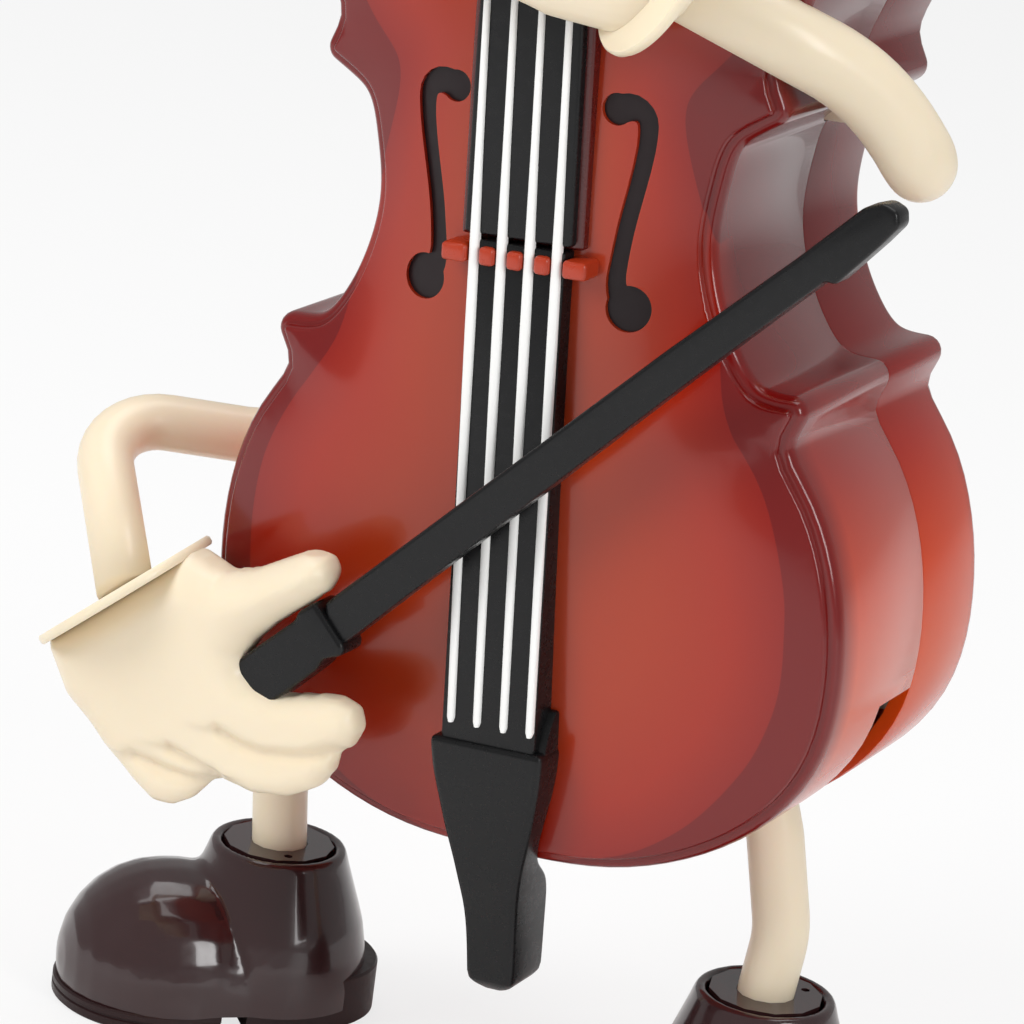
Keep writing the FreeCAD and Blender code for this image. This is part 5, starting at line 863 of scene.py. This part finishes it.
# Bow hand: its outline in the front view, the cuff, and the creases between its fingers
BOW_HAND = ((-57.2, 19.9), (-54.4, 13.3), (-51.0, 10.2), (-48.0, 6.7), (-44.9, 3.9), (-41.9, 1.8),
            (-39.2, 1.7), (-36.9, 2.9), (-35.0, 5.2), (-32.6, 6.1), (-28.1, 5.5), (-23.4, 6.0),
            (-19.6, 7.7), (-17.6, 10.4), (-17.4, 12.4), (-15.4, 13.6), (-14.2, 16.0), (-14.9, 18.5),
            (-17.6, 19.5), (-21.4, 19.0), (-25.2, 18.3), (-28.0, 19.2), (-29.7, 20.8), (-30.1, 22.6),
            (-28.6, 25.1), (-24.9, 28.3), (-21.6, 30.6), (-19.4, 32.6), (-18.7, 34.6), (-19.7, 36.4),
            (-22.2, 36.8), (-25.6, 35.2), (-29.3, 33.3), (-33.4, 32.3), (-38.0, 34.2))
BOW_HAND_CREASES = (((-32.4, 13.2), (-29.6, 11.9), (-26.7, 11.3), (-21.5, 11.9), (-16.4, 13.4)),
                    ((-44.2, 7.9), (-40.0, 6.7), (-36.0, 6.0), (-33.8, 6.2)),
                    ((-39.0, 9.7), (-35.6, 8.4), (-33.0, 7.4)))
HAND_MIDDLE = -37.0
HAND_SPACING = 0.42
HAND_PASSES = 5
# Rounding of the hand's edges by the distance from the cuff, and how far the back bulges against the front
HAND_STATIONS, HAND_RADII = (0, 6, 14, 24), (7.0, 5.4, 4.3, 3.4)
HAND_BACK_SHARE = 0.85
HAND_LEAST = 0.2
CREASE_DEPTH, CREASE_WIDTH = 1.2, 0.75
# Below a crease the finger lies further back, up to this far away from the crease
CREASE_STEP, CREASE_FADE = 0.9, 5.0
CUFF_CENTRE = Vector((-47.6, HAND_MIDDLE, 27.0))
CUFF_AXIS = Vector((0.59, 0.079, -0.803))
CUFF_RADIUS = 12.1
CUFF_LIFT = 0.9
# Profile of a cuff: share of its radius, and travel along its axis
CUFF_PROFILE = ((0.0, 0.0), (0.98, 0.0), (1.0, 0.3), (1.0, 0.9), (0.98, 1.2), (0.0, 1.3))
TURNED_SIDES = 72
AXIS_RADIUS = 0.01


def line_distance(points, line):
    """How far spots in the front view lie from an open line, and whether they lie below it."""
    line = np.array(line, float)
    nearest = np.full(len(points), np.inf)
    for start, end in zip(line, line[1:]):
        step = end - start
        share = np.clip((points - start) @ step / (step @ step), 0, 1)
        nearest = np.minimum(nearest, np.linalg.norm(points - start - share[:, None] * step, axis=1))
    return nearest, points[:, 1] < np.interp(points[:, 0], line[:, 0], line[:, 1])


def bow_hand_surfaces(points, depth):
    """Front and back of the bow hand: thick at the cuff, thin at the fingers, stepped back at the creases."""
    from_cuff = (points[:, 0] - CUFF_CENTRE.x) * CUFF_AXIS.x + (points[:, 1] - CUFF_CENTRE.z) * CUFF_AXIS.z
    radius = np.interp(from_cuff, HAND_STATIONS, HAND_RADII)
    thickness = np.sqrt(np.maximum(radius ** 2 - (radius - np.minimum(depth, radius)) ** 2, 0))
    front, back = HAND_MIDDLE - thickness, HAND_MIDDLE + thickness * HAND_BACK_SHARE
    for crease in BOW_HAND_CREASES:
        away, below = line_distance(points, crease)
        front += CREASE_DEPTH * np.exp(-(away / CREASE_WIDTH) ** 2)
        front += np.where(below, CREASE_STEP * np.clip(1 - away / CREASE_FADE, 0, 1), 0)
    return np.minimum(front, back - HAND_LEAST), back


def turned(profile, centre, axis):
    """A closed piece turned about an axis through a centre, from a profile of radius and travel."""
    axis = axis.normalized()
    across = axis.orthogonal().normalized()
    up = axis.cross(across)
    rings = []
    for radius, travel in profile:
        reach = max(radius, AXIS_RADIUS)
        rings.append([centre + axis * travel + (across * math.cos(turn) + up * math.sin(turn)) * reach
                      for turn in full_turn(TURNED_SIDES)])
    return rings_object("turned", rings)


def cuff(name, centre, axis, radius, body):
    item = turned([(share * radius, travel) for share, travel in CUFF_PROFILE], centre, axis)
    item.name = name
    place(crisp(item, SOFTEST_EDGE), CELLO, body, "limb_cream")


def make_right_hand():
    hand = puffed("bow_hand", BOW_HAND, HAND_SPACING, bow_hand_surfaces)
    remeshed(hand, HAND_SPACING, HAND_PASSES)
    place(hand, CELLO, "bow_arm", "limb_cream", ["right_hand"])
    cuff("bow_hand_cuff", CUFF_CENTRE - CUFF_AXIS * CUFF_LIFT, CUFF_AXIS, CUFF_RADIUS, "bow_arm")


# Hand on the fingerboard as rods: start, end, start radius, end radius, flatness across y
HOLD_HAND = (((14.6, -38.6, 113.6), (7.6, -38.8, 113.8), 9.9, 9.3, 0.5),
             ((7.6, -38.8, 113.8), (-1.0, -38.4, 115.4), 9.3, 8.4, 0.46),
             ((-1.0, -37.8, 109.6), (-7.2, -35.8, 109.4), 3.0, 2.8, 1.0),
             ((-1.0, -37.8, 114.6), (-7.6, -35.6, 114.8), 3.0, 2.8, 1.0),
             ((-1.0, -37.8, 119.6), (-7.6, -35.6, 120.2), 3.0, 2.8, 1.0),
             ((-1.0, -37.6, 124.0), (-7.0, -35.8, 125.0), 2.9, 2.6, 1.0),
             ((12.0, -35.0, 118.0), (9.6, -31.6, 125.0), 3.6, 3.0, 1.0))
HOLD_CUFF_LIFT, HOLD_CUFF_RADIUS = 1.6, 10.8


def make_left_hand():
    hand = joined("hold_hand", rod_set(HOLD_HAND))
    remeshed(hand, HAND_SPACING, HAND_PASSES)
    place(hand, CELLO, "cello", "limb_cream", ["left_hand"])
    start, end = Vector(HOLD_ARM[-2]), Vector(HOLD_ARM[-1])
    axis = (end - start).normalized()
    cuff("hold_hand_cuff", end - axis * HOLD_CUFF_LIFT, axis, HOLD_CUFF_RADIUS, "cello")


def make_legs():
    for side, name in ((1, "left"), (-1, "right")):
        path = bent([(side * x, y, z) for x, y, z in LEG], LEG_BENDS)
        leg = tube(f"{name}_leg_tube", path, LIMB_RADII)
        combine(leg, [block(*LEG_TOP_CUT)], "DIFFERENCE")
        place(crisp(leg, SOFT_EDGE), STAND, "stand", "limb_cream", [f"{name}_leg"])


# Shoes: rods in shoe space, toe along +X, z up from the floor

SHOE_RODS = (((14.2, 0, 5.2), (12.0, 0, 5.2), 13.2, 13.2, 1.0),
             ((13.2, 0, 2.6), (13.0, 0, 3.4), 13.5, 13.4, 1.0),
             ((2.0, 0, 2.6), (12.0, 0, 5.0), 12.2, 13.1, 1.0),
             ((6.0, -3.0, 3.0), (12.0, -2.0, 4.4), 12.0, 12.6, 1.0))
SHOE_VOXEL, SHOE_PASSES = 0.5, 6
BELOW_UPPER = ((-40, -40, -20), (40, 40, 2.4))
# Collar of the shoe: radius, height
ANKLE_PROFILE = ((0.01, 1.0), (13.0, 1.0), (13.0, 5.0), (12.7, 8.5), (12.0, 12.0), (10.9, 15.2), (9.9, 18.0),
                 (9.2, 20.0), (8.9, 21.0), (8.6, 21.7), (8.1, 22.0), (7.5, 21.7), (7.2, 21.1), (7.15, 18.4),
                 (0.01, 18.4))
# Edge of the front sole, of the arch behind it and of the heel: outset, height
SOLE_PROFILE = ((-0.35, 0.0), (0.0, 0.3), (0.0, 1.2), (-0.22, 1.35), (-0.22, 1.5), (0.0, 1.65), (0.0, 2.3),
                (-0.25, 2.5))
ARCH_PROFILE = ((-0.2, 2.8), (0.0, 3.1), (0.0, 5.6), (-0.25, 5.8))
HEEL_PROFILE = ((-0.35, 0.0), (0.0, 0.3), (0.0, 6.5), (-0.25, 6.8))
TOE_MIDDLE, TOE_HALF = 14.2, 12.8
HEEL_MIDDLE, HEEL_HALF = -3.8, 10.4
SOLE_EDGE = 0.5
SOLE_SIDES = 40
# Where the front sole starts and where the arch and the heel end, along the shoe
SOLE_START_X, ARCH_END_X, HEEL_END_X = 8.0, 8.3, 4.6
PAST_HEEL_X, PAST_TOE_X, PAST_SIDE_Y = -30, 40, 30
SOLE_CUT_LEVELS = (-1, 10)


def sole_ring(outset, level):
    """The plan of a sole grown by a distance: a round toe and heel joined by straight sides."""
    ring = []
    for middle, radius, first in ((TOE_MIDDLE, TOE_HALF, -90), (HEEL_MIDDLE, HEEL_HALF, 90)):
        reach = radius + outset
        for angle in np.radians(np.linspace(first, first + 180, SOLE_SIDES)):
            ring.append((middle + reach * math.cos(angle), reach * math.sin(angle), level))
    return ring


def sole_part(name, profile, cut_start, cut_end):
    """A slab in the sole's plan without its stretch between two places along the shoe."""
    slab = rings_object(name, [sole_ring(SOLE_EDGE + outset, level) for outset, level in profile])
    low, high = SOLE_CUT_LEVELS
    return combine(slab, [block((cut_start, -PAST_SIDE_Y, low), (cut_end, PAST_SIDE_Y, high))], "DIFFERENCE")


def shoe_space(side):
    return (STAND @ Matrix.Translation((side * ANKLE_X, ANKLE_Y, 0))
            @ Matrix.Rotation(math.radians(-90 + side * TOE_OUT), 4, "Z"))


def rod_set(rods):
    return [capsule(start, end, first, last, flat) for start, end, first, last, flat in rods]


def make_shoes():
    for side, name in ((1, "left"), (-1, "right")):
        collar = turned(ANKLE_PROFILE, Vector((0, 0, 0)), Vector((0, 0, 1)))
        upper = joined(f"{name}_shoe_upper", rod_set(SHOE_RODS) + [collar])
        remeshed(upper, SHOE_VOXEL, SHOE_PASSES)
        combine(upper, [block(*BELOW_UPPER)], "DIFFERENCE")
        place(crisp(upper, SOFTEST_EDGE), shoe_space(side), "stand", "shoe_brown", [f"{name}_shoe"])
        sole = sole_part(f"{name}_shoe_sole", SOLE_PROFILE, PAST_HEEL_X, SOLE_START_X)
        arch = sole_part("arch", ARCH_PROFILE, ARCH_END_X, PAST_TOE_X)
        heel = sole_part("heel", HEEL_PROFILE, HEEL_END_X, PAST_TOE_X)
        combine(sole, [arch, heel], "UNION")
        place(crisp(sole), shoe_space(side), "stand", "sole_brown", [f"{name}_sole"])


# CAD pieces that show as they are

NODE_MATERIALS = {
    "cello_red": ("neck", "scroll"), "gloss_black": ("nut",),
    "shoe_brown": ("left_ankle_plug", "right_ankle_plug"), "peg_black": ("tuning_pegs",),
    "yoke_grey": ("hip_yoke",),
    "steel": ("hip_pin", "arm_pivot_pin", "winding_arbor", "mainspring", "ratchet_wheel", "cylinder_arbor",
              "crank_shaft", "crank_disc", "fly_shaft", "comb", "comb_block", "barrel_bridge", "bedplate",
              "governor_bracket", "cylinder_brackets"),
    "screw_steel": ("shell_screws", "bedplate_screws", "comb_screws", "leg_screws", "sole_screws"),
    "brass": ("great_wheel", "spring_drum", "pinned_cylinder", "worm_wheel", "fly_wings"),
    "key_chrome": ("winding_key",),
}


def dress_nodes():
    for name, nodes in NODE_MATERIALS.items():
        for node in nodes:
            item = frame["nodes"][node]
            item.data.materials.clear()
            item.data.materials.append(materials[name])
            crisp(item)


# Light, floor and camera

FLOOR_HALF = 1.2
FLOOR_LOOK = {"Base Color": (0.9, 0.9, 0.9, 1), "Roughness": 0.6}
FLOOR_GLOW = 0.75


def make_floor():
    """A pale floor that looks nearly white to the camera but keeps its shadows."""
    corners = [(x * FLOOR_HALF, y * FLOOR_HALF, 0) for x, y in ((-1, -1), (1, -1), (1, 1), (-1, 1))]
    floor = new_object("floor", corners, [(0, 1, 2, 3)])
    nodes = Nodes("floor_white")
    nodes.set(FLOOR_LOOK)
    light_path = nodes.add("ShaderNodeLightPath").outputs["Is Camera Ray"]
    glow = nodes.add("ShaderNodeEmission", {"Color": (1, 1, 1, 1), "Strength": 1.0}).outputs[0]
    share = nodes.math("MULTIPLY", light_path, FLOOR_GLOW)
    mixed = nodes.add("ShaderNodeMixShader", {0: share, 1: nodes.shader.outputs[0], 2: glow})
    output = nodes.tree.nodes["Material Output"]
    nodes.tree.links.new(mixed.outputs[0], output.inputs["Surface"])
    floor.data.materials.append(nodes.material)


WORLD_LIGHT = 0.4


def make_world():
    """A white surround that lights the object more softly than it looks to the camera."""
    world = bpy.data.worlds.new("studio")
    bpy.context.scene.world = world
    world.use_nodes = True
    tree = world.node_tree
    background = tree.nodes["Background"]
    paths = tree.nodes.new("ShaderNodeLightPath")
    strength = tree.nodes.new("ShaderNodeMapRange")
    tree.links.new(paths.outputs["Is Camera Ray"], strength.inputs["Value"])
    strength.inputs["To Min"].default_value = WORLD_LIGHT
    strength.inputs["To Max"].default_value = 1.0
    tree.links.new(strength.outputs["Result"], background.inputs["Strength"])
    background.inputs["Color"].default_value = (1, 1, 1, 1)


# Soft lamps: name, place and aim in metres, width, height, power
LAMPS = (("key_lamp", (-0.55, -0.75, 0.75), (0, 0, 0.12), 0.5, 0.7, 7.4),
         ("fill_lamp", (0.85, -0.35, 0.45), (0, 0, 0.1), 0.25, 0.5, 3.0),
         ("top_lamp", (0.0, 0.1, 1.0), (0, 0, 0.1), 0.8, 0.6, 4.0))
# Lamps that give no mirrored highlight
DIFFUSE_LAMPS = ("key_lamp",)


def make_lamps():
    for name, spot, aim, width, height, power in LAMPS:
        lamp = bpy.data.lights.new(name, "AREA")
        lamp.shape = "RECTANGLE"
        lamp.size = width
        lamp.size_y = height
        lamp.energy = power
        item = bpy.data.objects.new(name, lamp)
        bpy.context.scene.collection.objects.link(item)
        item.visible_glossy = name not in DIFFUSE_LAMPS
        item.location = spot
        item.rotation_euler = (Vector(aim) - Vector(spot)).to_track_quat("-Z", "Y").to_euler()


# The photograph's camera as seen from the cello
CAMERA_AZIMUTH = 25.95
CAMERA_ELEVATION = 14.98
CAMERA_ROLL = 3.47
CAMERA_DISTANCE = 615.0
CAMERA_TARGET = Vector((-14.22, 0, 35.0))
CAMERA_FOCAL = 4921.9
SENSOR = 36.0
PICTURE = 1024
CLIP = (0.01, 20.0)


def make_camera():
    camera = bpy.data.cameras.new("camera")
    camera.sensor_width = SENSOR
    camera.lens = CAMERA_FOCAL * SENSOR / PICTURE
    camera.clip_start, camera.clip_end = CLIP
    item = bpy.data.objects.new("camera", camera)
    bpy.context.scene.collection.objects.link(item)
    turn = math.radians(CAMERA_AZIMUTH)
    rise = math.radians(CAMERA_ELEVATION)
    toward = Vector((math.sin(turn) * math.cos(rise), -math.cos(turn) * math.cos(rise), math.sin(rise)))
    right = Vector((math.cos(turn), math.sin(turn), 0))
    up = toward.cross(right)
    roll = math.radians(CAMERA_ROLL)
    rolled_right = right * math.cos(roll) + up * math.sin(roll)
    rolled_up = up * math.cos(roll) - right * math.sin(roll)
    spot = CELLO @ (CAMERA_TARGET + toward * CAMERA_DISTANCE)
    turned_axes = [(CELLO.to_3x3() @ axis).normalized() for axis in (rolled_right, rolled_up, toward)]
    matrix = Matrix(turned_axes).transposed().to_4x4()
    matrix.translation = spot
    item.matrix_world = matrix
    bpy.context.scene.camera = item


make_front_shell()
make_sound_holes()
make_rear_shell()
make_strings()
make_string_strip()
make_fingerboard()
make_bridge()
make_tailpiece()
make_bow()
make_limbs()
make_right_hand()
make_left_hand()
make_legs()
make_shoes()
dress_nodes()
make_floor()
make_world()
make_lamps()
make_camera()
bpy.context.scene.view_settings.view_transform = "Standard"
